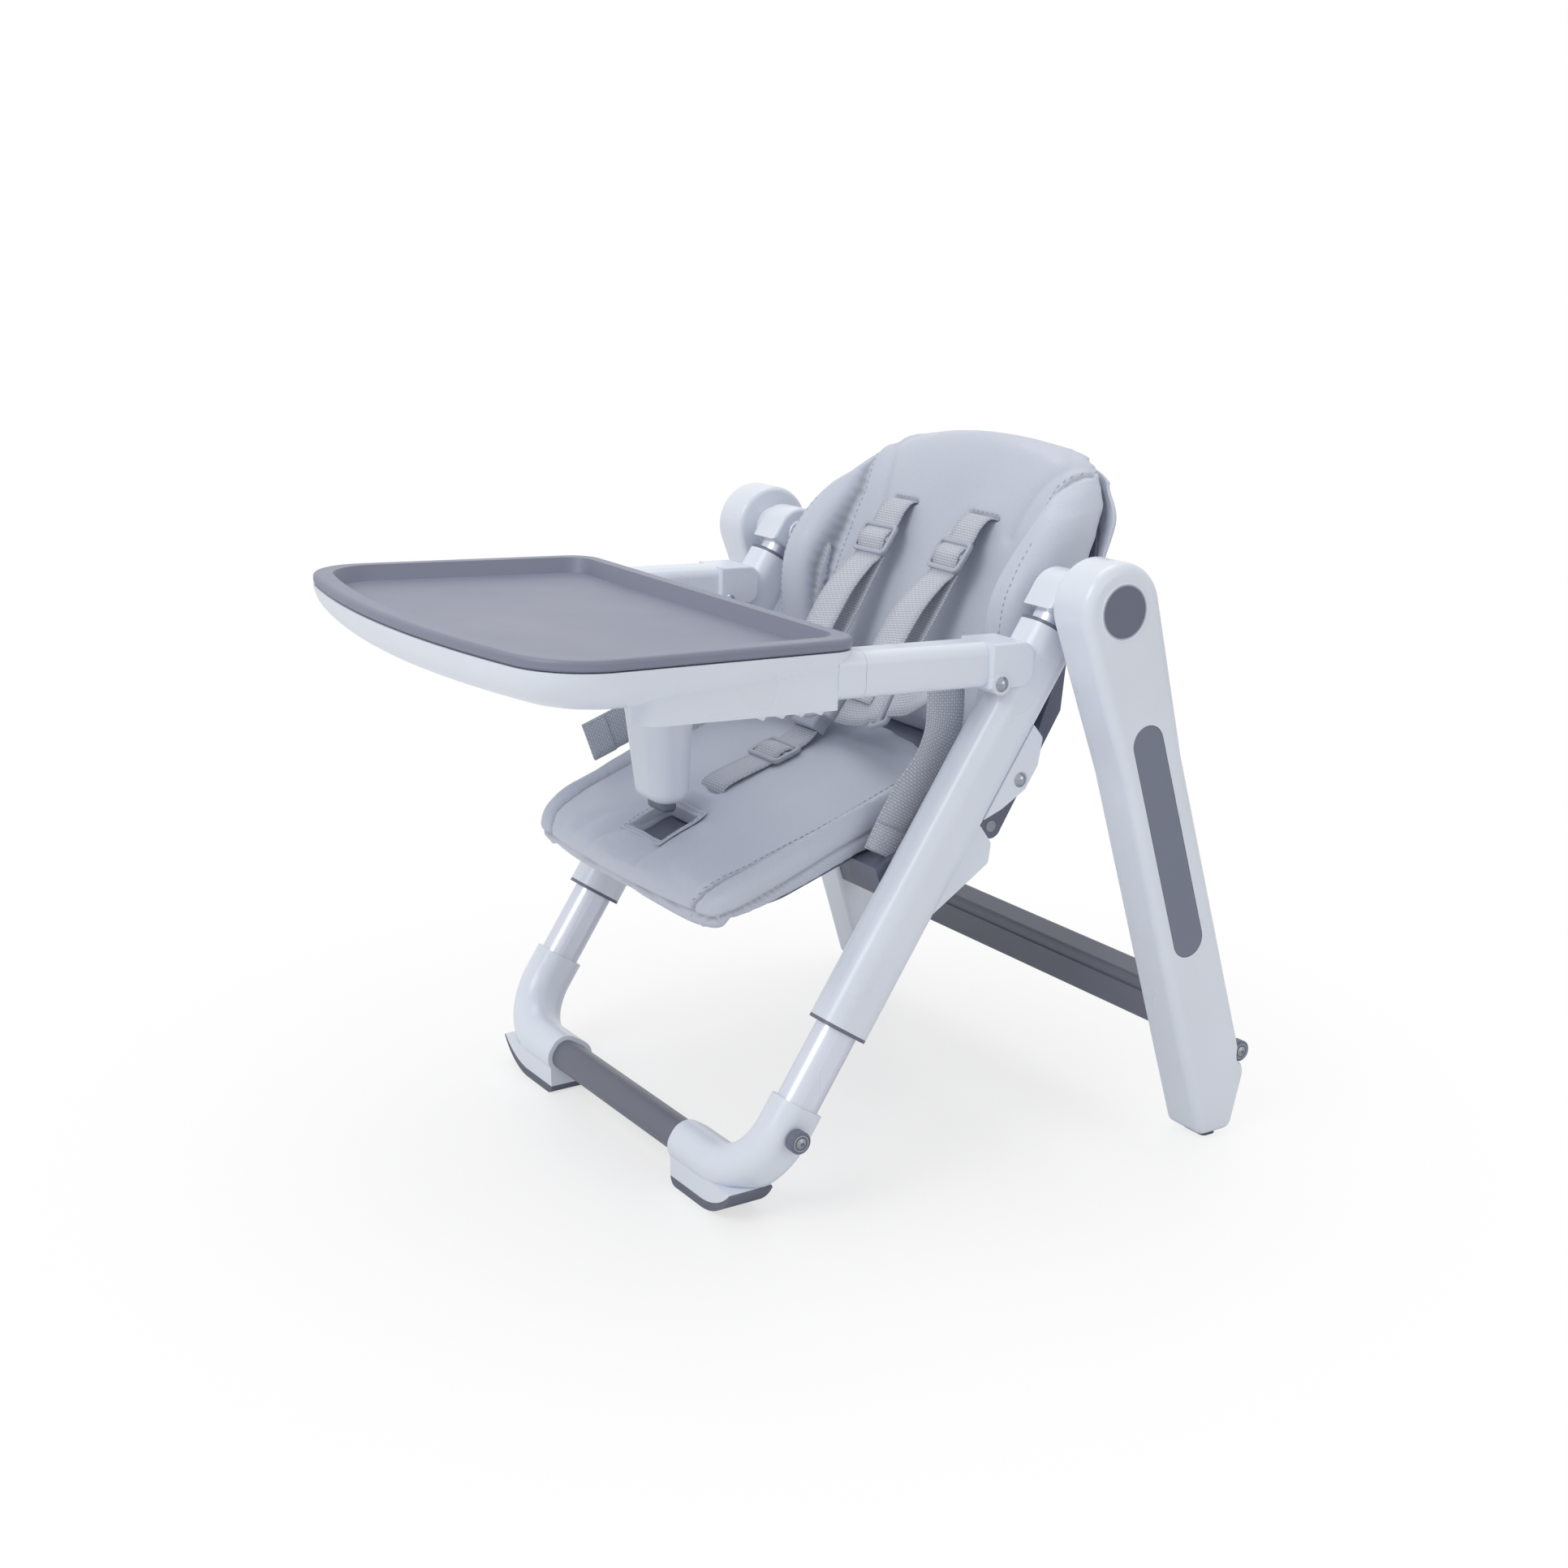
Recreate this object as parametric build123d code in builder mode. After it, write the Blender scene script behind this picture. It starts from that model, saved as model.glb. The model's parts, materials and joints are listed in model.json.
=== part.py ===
from build123d import *
import os
from math import asin, cos, radians, sin, tan

# All sizes in millimetres and degrees. +Z is up, the front of the chair faces -Y, its left side is +X.

# Main frame
leg_spacing = 430.0
overall_width = 580.0
hub_height = 483.0
leg_lean = 34.2
rear_lean = 16.2

# Clearances
fit_gap = 0.1
pin_gap = 0.05
run_gap = 0.3
soft_gap = 0.5

# Leg tubes and front crossbar
tube_width = 28.0
tube_depth = 36.0
tube_corner = 12.0
tube_wall = 1.5
crossbar_height = 33.0
joint_insert = 25.0

# Front elbows, shoes and rollers
elbow_wall = 4.4
elbow_drop = 75.0
elbow_bend = 52.0
elbow_reach = 102.0
shoe_height = 8.0
shoe_depth = 40.0
shoe_bevel = 8.0
shoe_lip = 1.5
boot_top = 28.0
boot_heel = 4.0
front_roller_rise = 50.0
roller_radius = 9.5
roller_width = 10.0
axle_radius = 2.5
axle_head = 4.6
axle_dome = 1.8
roller_edge = 1.2

# Hubs
hub_pin_radius = 8.0
hub_radius = 39.0
knuckle_width = 38.0
knuckle_radius = 24.0
knuckle_skirt = 20.0
knuckle_plug = 45.0
knuckle_edge = 4.0
spacer_radius = 20.0
fold_button_radius = 22.0
fold_button_depth = 14.0
fold_button_travel = 4.0
collar_wall = 3.5
pin_edge = 1.0
button_edge = 1.5

# Rear legs
rear_leg_thick = 45.0
rear_leg_width = 62.0
rear_cover_thick = 13.0
rear_wall = 4.0
rear_taper_drop = 140.0
rear_cavity_top = 50.0
rear_cavity_rise = 108.0
rear_edge = 9.0
rear_inner_edge = 5.0
rear_toe_round = 10.0
rear_toe_rise = 55.0
rear_toe_cut = 31.0
rear_pad_height = 4.0
inlay_length = 217.0
inlay_width = 32.0
inlay_drop = 209.0
inlay_forward = 3.0
inlay_depth = 2.0
inlay_edge = 0.5
rear_bar_rise = 136.0
rear_bar_forward = 15.0
rear_bar_height = 46.0
rear_bar_depth = 24.0
rear_bar_groove = 4.0
rear_roller_rise = 66.0
rear_roller_offset = 34.0
rear_roller_inset = 6.0
rear_boss_radius = 7.0

# Sleeves
sleeve_width = 40.0
sleeve_depth = 48.0
sleeve_corner = 15.0
sleeve_wall = 2.5
sleeve_top = 29.0
sleeve_bottom = 401.0
bush_flange = 3.0
bush_skirt = 14.0
gusset_width = 26.0
gusset_top = 198.0
gusset_low = 288.0
gusset_depth = 24.0
lobe_width = 18.0
lobe_top = 106.0
lobe_low = 194.0
lobe_depth = 18.0
height_button_radius = 4.5
height_button_drop = 374.0
height_button_length = 3.6
height_button_proud = 0.6

# Arms and saddles
arm_drop = 56.0
arm_rise = 2.9
arm_width = 36.0
arm_height = 37.0
arm_corner = 10.0
saddle_wall = 2.5
saddle_front = 60.0
saddle_rear = -17.0
saddle_socket = 16.0
tongue_width = 26.0
tongue_height = 28.0
arm_shoulder = 178.0
tongue_end = 345.0
bolt_forward = 50.0
bolt_below = 14.5
bolt_radius = 3.0
bolt_head = 6.4
bolt_dome = 3.6
bolt_boss_radius = 9.0
bolt_boss_proud = 1.2

# Tray
tray_rear = 181.0
tray_depth = 304.0
tray_half_rear = 234.0
tray_half_front = 248.0
tray_front_bow = 33.0
tray_rear_corner = 28.0
tray_front_corner = 60.0
tray_top = 31.0
tray_split = 21.0
tray_bottom = -12.0
tray_bottom_inset = 30.0
tray_bend = 2.0
tray_bend_inset = 7.0
tray_wall = 3.0
liner_rim = 14.0
liner_floor = 2.5
liner_plug = 9.0
liner_recess = 13.5
liner_edge = 3.5
pocket_wall = 3.6
pocket_front = 357.0
pocket_rear = 203.0
pocket_below = 25.0
rack_length = 70.0
rack_width = 14.0
rack_tooth = 5.0
rack_teeth = 4
post_forward = 236.0
post_top_width = 68.0
post_top_depth = 56.0
post_tip_width = 52.0
post_tip_depth = 36.0
post_shift = 10.0
post_length = 136.0
post_tip_round = 13.0
tongue_tab = 7.0

# Recline hinge, seat and backrest
hinge_drop = 188.7
hinge_behind = 74.7
seat_slope = 18.0
back_lean = 22.0
recline_pin_radius = 5.0
lug_radius = 11.0
lug_width = 13.0
lug_inset = 24.0
seat_front = 268.0
seat_half_width = 175.0
seat_base = 33.0
seat_crown = 69.0
seat_seam = 150.0
pan_thick = 5.0
pan_rear = 16.0
pan_front_inset = 38.0
pan_side_inset = 18.0
ear_length = 60.0
ear_height = 22.0
slot_forward = 210.0
slot_width = 56.0
slot_depth = 38.0
strap_slot_forward = 158.0
back_base = 52.0
back_half_width = 187.0
back_rear = -16.0
back_crown = 21.0
back_wing = 52.0
back_seam = 138.0
back_shell_thick = 5.0
back_shell_top = 300.0
shoulder_slot_height = 253.0
shoulder_spacing = 120.0
pad_tuck = 6.0
seat_heel = 1.0
seat_heel_rake = 30.0

# Seat cushion sections: distance from the front, side inset, then above the base the heights of the
# edge and the bolster, then the seam's inset, its height above the base and the drop of the crown
seat_profile = (
    (0.0, 15.0, 13.0, 19.0, 16.0, 18.0, 13.0),
    (12.0, 7.0, 17.5, 25.0, 8.0, 23.5, 6.5),
    (30.0, 3.0, 20.5, 29.0, 3.5, 26.0, 2.5),
    (60.0, 1.0, 22.5, 31.5, 1.2, 27.0, 0.6),
    (105.0, 0.3, 24.0, 33.0, 0.3, 27.0, 0.1),
    (160.0, 0.0, 25.5, 34.5, 0.0, 27.0, 0.0),
    (230.0, 1.0, 26.0, 35.0, 1.0, 27.0, 0.6),
    (308.0, 5.0, 26.0, 35.0, 4.0, 27.0, 2.0),
)

# Back cushion sections: height, side inset, lift of the rear face, edge, drop of the wing, then the
# seam's inset and height and the drop of the crown
back_profile = (
    (52.0, 27.0, 0.0, 0.0, 36.0, 18.0, 8.0, 5.0),
    (110.0, 3.0, 0.0, 12.0, 12.0, 3.0, 12.0, 0.0),
    (170.0, 0.0, 0.0, 18.0, 0.0, 0.0, 13.0, 0.0),
    (230.0, 3.0, 0.0, 10.0, 12.0, 2.0, 13.0, 0.0),
    (285.0, 15.0, 0.0, -2.0, 36.0, 10.0, 10.0, 1.0),
    (318.0, 37.0, 1.0, -6.0, 49.0, 26.0, 3.0, 9.0),
    (332.0, 67.0, 3.0, -9.0, 58.0, 48.0, -6.0, 20.0),
)

# Harness
strap_width = 38.0
strap_thick = 2.0
strap_slot_gap = 1.0
slider_width = 48.0
slider_length = 28.0
slider_thick = 4.0
slider_bar = 4.0
slider_edge = 0.8
strap_tight_bend = 1.5
strap_bend = 7.0
strap_sweep = 40.0
buckle_radius = 27.0
buckle_thick = 15.0
buckle_forward = 25.0
buckle_height = 98.0
buckle_lug = 5.0
buckle_lug_width = 36.0
buckle_tilt = 35.0
buckle_button_radius = 12.0
buckle_button_length = 5.0
buckle_button_proud = 1.5
buckle_button_travel = 2.0
tail_offset = 184.0
lap_rise = 46.0
lap_slider_x = 100.0
lap_flat = 4.0
crotch_slider_forward = 88.0
tail_length = 70.0
tail_forward = 52.0
far_tail_length = 62.0
far_tail_forward = 145.0
shoulder_end_x = 54.0
shoulder_tuck = 12.0
shoulder_lift = 9.0
shoulder_slider_share = 0.15
shoulder_slider_fall = 0.05
shoulder_low_share = 0.7

os.makedirs("parts", exist_ok=True)

outer_x = overall_width / 2
inner_x = outer_x - rear_leg_thick
part_x = inner_x + rear_cover_thick
leg_x = leg_spacing / 2
sleeve_inner_x = leg_x - sleeve_width / 2
lug_inner = seat_half_width - lug_inset
sin_leg, cos_leg = sin(radians(leg_lean)), cos(radians(leg_lean))
sin_rear, cos_rear = sin(radians(rear_lean)), cos(radians(rear_lean))
sin_arm, cos_arm = sin(radians(arm_rise)), cos(radians(arm_rise))
sin_seat, cos_seat = sin(radians(seat_slope)), cos(radians(seat_slope))
sin_back, cos_back = sin(radians(back_lean)), cos(radians(back_lean))

# The hub axis stands where the tray front and the rearmost point are equally far from the middle
tray_reach = arm_drop * sin_leg + (tray_rear + tray_depth) * cos_arm - tray_split * sin_arm
rear_drop = hub_height / cos_rear
rear_roller_drop = rear_drop - rear_roller_rise
rear_bar_drop = rear_drop - rear_bar_rise
roller_reach = rear_roller_drop * sin_rear + rear_roller_offset * cos_rear + roller_radius
tan_rear = tan(radians(rear_lean))
rear_edge_reach = (hub_height - rear_toe_rise) * tan_rear + rear_leg_width / 2 / cos_rear
hub_y = (tray_reach - max(rear_edge_reach, roller_reach)) / 2


def on_leg(drop, behind=0.0):
    """Y and Z of a point down the front leg from the hub, and behind its axis."""
    y = hub_y - drop * sin_leg + behind * cos_leg
    z = hub_height - drop * cos_leg - behind * sin_leg
    return y, z


def leg_plane(drop, x=leg_x):
    """Cross-section of the front leg: local x is X, local y points behind the leg."""
    return Plane(origin=(x, *on_leg(drop)), x_dir=(1, 0, 0), z_dir=(0, sin_leg, cos_leg))


def leg_side(x):
    """Side view of the front leg from the hub: local x points behind it, local y up along it."""
    return Plane(origin=(x, hub_y, hub_height), x_dir=(0, cos_leg, -sin_leg), z_dir=(1, 0, 0))


def rear_side(x):
    """Side view of the rear leg from the hub: local x points behind it, local y up along it."""
    return Plane(origin=(x, hub_y, hub_height), x_dir=(0, cos_rear, sin_rear), z_dir=(1, 0, 0))


def arm_side(x):
    """Side view of the arms from their root on the leg: local x points back, local y up."""
    return Plane(origin=(x, *on_leg(arm_drop)), x_dir=(0, cos_arm, -sin_arm), z_dir=(1, 0, 0))


def arm_section(forward, x=leg_x):
    """Cross-section of an arm: local x is X, local y up, normal to the front."""
    y, z = on_leg(arm_drop)
    origin = (x, y - forward * cos_arm, z + forward * sin_arm)
    return Plane(origin=origin, x_dir=(1, 0, 0), z_dir=(0, -cos_arm, sin_arm))


def tray_plane(height):
    """Level of the tray above the arm axis: local x is X, local y points back."""
    y, z = on_leg(arm_drop)
    origin = (0, y + height * sin_arm, z + height * cos_arm)
    return Plane(origin=origin, x_dir=(1, 0, 0), z_dir=(0, sin_arm, cos_arm))


hinge_y, hinge_z = on_leg(hinge_drop, hinge_behind)


def seat_side(x):
    """Side view of the seat from the recline hinge: local x points back along it, local y up off it."""
    return Plane(origin=(x, hinge_y, hinge_z), x_dir=(0, cos_seat, sin_seat), z_dir=(1, 0, 0))


def seat_section(back):
    """Cross-section of the seat: local x is X, local y up off the seat."""
    origin = (0, hinge_y + back * cos_seat, hinge_z + back * sin_seat)
    return Plane(origin=origin, x_dir=(1, 0, 0), z_dir=(0, -cos_seat, -sin_seat))


def seat_level(height):
    """Level above the seat's hinge line: local x is X, local y points back along the seat."""
    origin = (0, hinge_y - height * sin_seat, hinge_z + height * cos_seat)
    return Plane(origin=origin, x_dir=(1, 0, 0), z_dir=(0, -sin_seat, cos_seat))


def back_side(x):
    """Side view of the backrest from the hinge: local x up along it, local y forward off it."""
    return Plane(origin=(x, hinge_y, hinge_z), x_dir=(0, sin_back, cos_back), z_dir=(1, 0, 0))


def back_section(height):
    """Cross-section of the backrest: local x is X, local y forward off it."""
    origin = (0, hinge_y + height * sin_back, hinge_z + height * cos_back)
    return Plane(origin=origin, x_dir=(1, 0, 0), z_dir=(0, -sin_back, -cos_back))


def back_level(forward):
    """Face of the backrest at a depth: local x is X, local y up along it."""
    origin = (0, hinge_y - forward * cos_back, hinge_z + forward * sin_back)
    return Plane(origin=origin, x_dir=(1, 0, 0), z_dir=(0, -cos_back, sin_back))


def write(name, shape):
    shape.label = name
    export_step(shape, f"parts/{name}.step")


def write_pair(name, left):
    """Write a left-hand piece and its mirror image."""
    with BuildPart() as right:
        mirror(left.part, about=Plane.YZ)
    write(f"{name}_left", left.part)
    write(f"{name}_right", right.part)


def write_group(name, left):
    """Write a left-hand piece and its mirror image as one group."""
    with BuildPart() as both:
        add(left.part)
        mirror(left.part, about=Plane.YZ)
    write(name, both.part)


def domed_pin(plane, shank, radius, head, dome, two_heads=False):
    """Pin along the plane's local x, with a domed head outside its origin or one at both ends."""
    ball = (head**2 + dome**2) / (2 * dome)
    swing = asin(head / ball) / 2
    crest_out = dome - ball * (1 - cos(swing))
    crest_up = ball * sin(swing)
    with BuildPart() as pin:
        with BuildSketch(plane):
            with BuildLine():
                ThreePointArc((dome, 0), (crest_out, crest_up), (0, head))
                Polyline((0, head), (0, radius), (-shank, radius))
                if two_heads:
                    Line((-shank, radius), (-shank, head))
                    ThreePointArc((-shank, head), (-shank - crest_out, crest_up), (-shank - dome, 0))
                    Line((-shank - dome, 0), (dome, 0))
                else:
                    Polyline((-shank, radius), (-shank, 0), (dome, 0))
            make_face()
        revolve(axis=Axis(plane.origin, plane.x_dir))
    return pin


# Leg tubes
foot_drop = (hub_height - crossbar_height) / cos_leg
tube_end = foot_drop - elbow_drop + joint_insert
with BuildPart() as leg_tube:
    with BuildSketch(leg_plane(tube_end)):
        RectangleRounded(tube_width, tube_depth, tube_corner)
        offset(amount=-tube_wall, mode=Mode.SUBTRACT)
    extrude(amount=tube_end - knuckle_skirt)
write_pair("leg_tube", leg_tube)

# Front elbows, swept from the leg into the crossbar, with a boot down to the shoe
foot_y, foot_z = on_leg(foot_drop)
front_roller_drop = foot_drop - front_roller_rise
elbow_width = tube_width + 2 * (fit_gap + elbow_wall)
elbow_depth = tube_depth + 2 * (fit_gap + elbow_wall)
elbow_corner = tube_corner + fit_gap + elbow_wall
mouth_x = leg_x - elbow_reach
bend_x = leg_x - elbow_bend
heel_x = leg_x - boot_heel
with BuildPart() as front_elbow:
    with BuildLine() as bend:
        FilletPolyline(
            (leg_x, *on_leg(foot_drop - elbow_drop)),
            (leg_x, foot_y, foot_z),
            (mouth_x, foot_y, foot_z),
            radius=elbow_bend,
        )
    with BuildSketch(leg_plane(foot_drop - elbow_drop)):
        RectangleRounded(elbow_width, elbow_depth, elbow_corner)
    sweep(path=bend.line)
    with BuildSketch(Plane.XZ.offset(-foot_y)):
        with BuildLine():
            Line((mouth_x, shoe_height), (bend_x, shoe_height))
            TangentArc((bend_x, shoe_height), (heel_x, boot_top), tangent=(1, 0))
            Polyline((heel_x, boot_top), (mouth_x, boot_top), (mouth_x, shoe_height))
        make_face()
    extrude(amount=shoe_depth / 2, both=True)
    with BuildSketch(leg_plane(foot_drop - elbow_drop)):
        RectangleRounded(tube_width + 2 * fit_gap, tube_depth + 2 * fit_gap, tube_corner + fit_gap)
    sweep(path=bend.line, mode=Mode.SUBTRACT)
    with BuildSketch(leg_side(leg_x)):
        with Locations((0, -front_roller_drop)):
            Circle(axle_radius + pin_gap)
    extrude(amount=elbow_width, mode=Mode.SUBTRACT)
write_pair("front_elbow", front_elbow)

# Front crossbar
with BuildPart() as front_crossbar:
    with BuildSketch(Plane(origin=(0, foot_y, foot_z), x_dir=(0, sin_leg, cos_leg), z_dir=(1, 0, 0))):
        RectangleRounded(tube_width, tube_depth, tube_corner)
        offset(amount=-tube_wall, mode=Mode.SUBTRACT)
    extrude(amount=mouth_x + joint_insert, both=True)
write("front_crossbar", front_crossbar.part)

# Rubber shoes under the boots, thinner where they curl up at the heel
with BuildPart() as front_foot_pad:
    with BuildSketch(Plane.XZ.offset(-foot_y)):
        with BuildLine():
            TangentArc((mouth_x + shoe_bevel, 0), (mouth_x, shoe_height), tangent=(-1, 0))
            Line((mouth_x, shoe_height), (bend_x, shoe_height))
            TangentArc((bend_x, shoe_height), (heel_x, boot_top), tangent=(1, 0))
            Line((heel_x, boot_top), (heel_x + shoe_lip, boot_top - shoe_lip))
            TangentArc((bend_x, 0), (heel_x + shoe_lip, boot_top - shoe_lip), tangent=(1, 0))
            Line((bend_x, 0), (mouth_x + shoe_bevel, 0))
        make_face()
    extrude(amount=shoe_depth / 2, both=True)
    with BuildSketch(leg_plane(foot_drop - elbow_drop)):
        RectangleRounded(elbow_width, elbow_depth, elbow_corner)
    sweep(path=bend.line, mode=Mode.SUBTRACT)
write_pair("front_foot_pad", front_foot_pad)

# Front rollers and their axles
elbow_x = leg_x + elbow_width / 2
with BuildPart() as front_roller:
    with BuildSketch(leg_side(elbow_x + run_gap)):
        with Locations((0, -front_roller_drop)):
            Circle(roller_radius)
            Circle(axle_radius + pin_gap, mode=Mode.SUBTRACT)
    extrude(amount=roller_width)
    chamfer(edges().filter_by(GeomType.CIRCLE).group_by(SortBy.RADIUS)[-1], length=roller_edge)
write_pair("front_roller", front_roller)
axle_face = elbow_x + roller_width + 2 * run_gap
axle_y, axle_z = on_leg(front_roller_drop)
front_axle = domed_pin(
    Plane(origin=(axle_face, axle_y, axle_z), x_dir=(1, 0, 0), z_dir=(0, 0, 1)),
    axle_face - elbow_x + elbow_wall,
    axle_radius,
    axle_head,
    axle_dome,
)
write_group("front_roller_axles", front_axle)

# Hub knuckles, with a plug down into the tube and a spacer towards the rear leg
knuckle_x = leg_x - knuckle_width / 2
with BuildPart() as hub_knuckle:
    with BuildSketch(leg_side(knuckle_x)):
        Circle(knuckle_radius)
        Rectangle(2 * knuckle_radius, knuckle_skirt, align=(Align.CENTER, Align.MAX))
        with Locations((0, -knuckle_skirt)):
            Rectangle(
                2 * knuckle_radius, knuckle_radius, align=(Align.CENTER, Align.MAX), mode=Mode.SUBTRACT
            )
    extrude(amount=knuckle_width)
    fillet(faces().sort_by(Axis.X)[0].edges(), knuckle_edge)
    fillet(faces().sort_by(Axis.X)[-1].edges(), knuckle_edge)
    with BuildSketch(leg_side(knuckle_x + knuckle_width)):
        Circle(spacer_radius)
    extrude(amount=inner_x - run_gap - knuckle_x - knuckle_width)
    with BuildSketch(leg_plane(knuckle_skirt)):
        plug_inset = 2 * (tube_wall + fit_gap)
        RectangleRounded(tube_width - plug_inset, tube_depth - plug_inset, tube_corner - plug_inset / 2)
    extrude(amount=-knuckle_plug)
    with BuildSketch(leg_side(knuckle_x)):
        Circle(hub_pin_radius + pin_gap)
    extrude(amount=rear_leg_thick + leg_spacing, mode=Mode.SUBTRACT)
write_pair("hub_knuckle", hub_knuckle)

# Hub pins
button_back = outer_x - fold_button_depth
pin_end = button_back - fold_button_travel - 2 * run_gap
with BuildPart() as hub_pin:
    with BuildSketch(leg_side(knuckle_x)):
        Circle(hub_pin_radius)
    extrude(amount=pin_end - knuckle_x)
    chamfer(edges().filter_by(GeomType.CIRCLE), length=pin_edge)
write_group("hub_pins", hub_pin)

# Rear leg mouldings: an outer shell and an inner cover that meet at one plane
rear_end = rear_drop + rear_leg_width


def rear_outline(inset):
    """Outline of the rear leg in its side view."""
    Circle(hub_radius - inset)
    with Locations((0, -rear_taper_drop)):
        Circle(rear_leg_width / 2 - inset)
    make_hull()
    with Locations((0, -rear_taper_drop)):
        Rectangle(rear_leg_width - 2 * inset, rear_end - rear_taper_drop, align=(Align.CENTER, Align.MAX))


def toe_cut():
    """What is cut from the heel of the rear leg, in a side view with local x along Y."""
    with BuildLine() as outline:
        Polyline(
            (hub_y + rear_edge_reach, rear_toe_rise),
            (toe_heel_y, 0),
            (toe_heel_y + rear_leg_width, 0),
            (toe_heel_y + rear_leg_width, rear_toe_rise),
            close=True,
        )
    make_face(outline.edges())


toe_heel_y = hub_y + hub_height * tan_rear + rear_leg_width / 2 / cos_rear - rear_toe_cut
rear_cavity_end = rear_drop - rear_cavity_rise
rear_cavity_length = rear_cavity_end - rear_cavity_top
with BuildPart() as rear_leg_shell:
    with BuildSketch(rear_side(part_x)):
        rear_outline(0)
    extrude(amount=outer_x - part_x)
    with BuildSketch(Plane.YZ.offset(part_x)):
        toe_cut()
    extrude(amount=outer_x - part_x, mode=Mode.SUBTRACT)
    split(bisect_by=Plane.XY.offset(rear_pad_height), keep=Keep.TOP)
    fillet(edges().filter_by(Axis.X).group_by(Axis.Z)[0:2], rear_toe_round)
    fillet(faces().sort_by(Axis.X)[-1].edges(), rear_edge)
    with BuildSketch(rear_side(part_x)):
        Circle(hub_radius - rear_wall)
        with Locations((0, -rear_cavity_top)):
            Rectangle(rear_leg_width - 2 * rear_wall, rear_cavity_length, align=(Align.CENTER, Align.MAX))
    extrude(amount=outer_x - part_x - 2 * rear_wall, mode=Mode.SUBTRACT)
    with BuildSketch(rear_side(button_back)):
        Circle(fold_button_radius + run_gap + collar_wall)
    extrude(amount=fold_button_depth - rear_wall)
    with BuildSketch(rear_side(button_back - rear_wall)):
        Circle(fold_button_radius + run_gap)
    extrude(amount=fold_button_depth + 2 * rear_wall, mode=Mode.SUBTRACT)
    with BuildSketch(rear_side(outer_x - inlay_depth)):
        with Locations((-inlay_forward, -inlay_drop)):
            SlotOverall(inlay_length, inlay_width, rotation=90)
    extrude(amount=inlay_depth, mode=Mode.SUBTRACT)
    roller_seat = outer_x - rear_roller_inset - roller_width - run_gap
    with BuildSketch(rear_side(part_x)):
        with Locations((rear_roller_offset, -rear_roller_drop)):
            Circle(rear_boss_radius)
    extrude(amount=roller_seat - part_x)
    with BuildSketch(rear_side(roller_seat)):
        with Locations((rear_roller_offset, -rear_roller_drop)):
            Circle(roller_radius + 5 * run_gap)
    extrude(amount=rear_leg_thick, mode=Mode.SUBTRACT)
    with BuildSketch(rear_side(part_x)):
        with Locations((rear_roller_offset, -rear_roller_drop)):
            Circle(axle_radius + pin_gap)
    extrude(amount=rear_leg_thick, mode=Mode.SUBTRACT)
write_pair("rear_leg_shell", rear_leg_shell)

with BuildPart() as rear_leg_cover:
    with BuildSketch(rear_side(inner_x)):
        rear_outline(0)
    extrude(amount=rear_cover_thick)
    with BuildSketch(Plane.YZ.offset(inner_x)):
        toe_cut()
    extrude(amount=rear_cover_thick, mode=Mode.SUBTRACT)
    split(bisect_by=Plane.XY.offset(rear_pad_height), keep=Keep.TOP)
    fillet(edges().filter_by(Axis.X).group_by(Axis.Z)[0:2], rear_toe_round)
    fillet(faces().sort_by(Axis.X)[0].edges(), rear_inner_edge)
    with BuildSketch(rear_side(inner_x + rear_wall)):
        Circle(hub_radius - rear_wall)
        with Locations((0, -rear_cavity_top)):
            Rectangle(rear_leg_width - 2 * rear_wall, rear_cavity_length, align=(Align.CENTER, Align.MAX))
    extrude(amount=rear_leg_thick, mode=Mode.SUBTRACT)
    with BuildSketch(rear_side(inner_x)):
        Circle(2 * hub_pin_radius)
    extrude(amount=pin_end - inner_x - run_gap)
    with BuildSketch(rear_side(inner_x)):
        Circle(hub_pin_radius + pin_gap)
    extrude(amount=rear_leg_thick, mode=Mode.SUBTRACT)
write_pair("rear_leg_cover", rear_leg_cover)

# Bare inlays in the outer faces
with BuildPart() as rear_leg_inlay:
    with BuildSketch(rear_side(outer_x - inlay_depth)):
        with Locations((-inlay_forward, -inlay_drop)):
            SlotOverall(inlay_length - 2 * run_gap, inlay_width - 2 * run_gap, rotation=90)
    extrude(amount=inlay_depth)
    chamfer(faces().sort_by(Axis.X)[-1].edges(), length=inlay_edge)
write_pair("rear_leg_inlay", rear_leg_inlay)

# Rear crossbar, a box tube with a groove along its front
with BuildPart() as rear_crossbar:
    with BuildSketch(rear_side(0)):
        with Locations((-rear_bar_forward, -rear_bar_drop)):
            RectangleRounded(rear_bar_depth, rear_bar_height, rear_bar_groove)
            Rectangle(rear_bar_depth - 2 * rear_wall, rear_bar_height - 2 * rear_wall, mode=Mode.SUBTRACT)
        with Locations((-rear_bar_forward - rear_bar_depth / 2, -rear_bar_drop + rear_bar_height / 4)):
            Circle(rear_bar_groove / 2, mode=Mode.SUBTRACT)
    extrude(amount=inner_x, both=True)
write("rear_crossbar", rear_crossbar.part)

# Pads under the rear legs
toe_front_y = hub_y + (hub_height - rear_pad_height) * tan_rear - rear_leg_width / 2 / cos_rear
toe_y = (toe_front_y + toe_heel_y) / 2
with BuildPart() as rear_foot_pad:
    with BuildSketch(Plane.XY):
        with Locations(((inner_x + outer_x) / 2, toe_y)):
            Rectangle(rear_leg_thick - 2 * rear_edge, toe_heel_y - toe_front_y - 2 * rear_toe_round)
        fillet(vertices(), rear_pad_height)
    extrude(amount=rear_pad_height)
write_pair("rear_foot_pad", rear_foot_pad)

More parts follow.
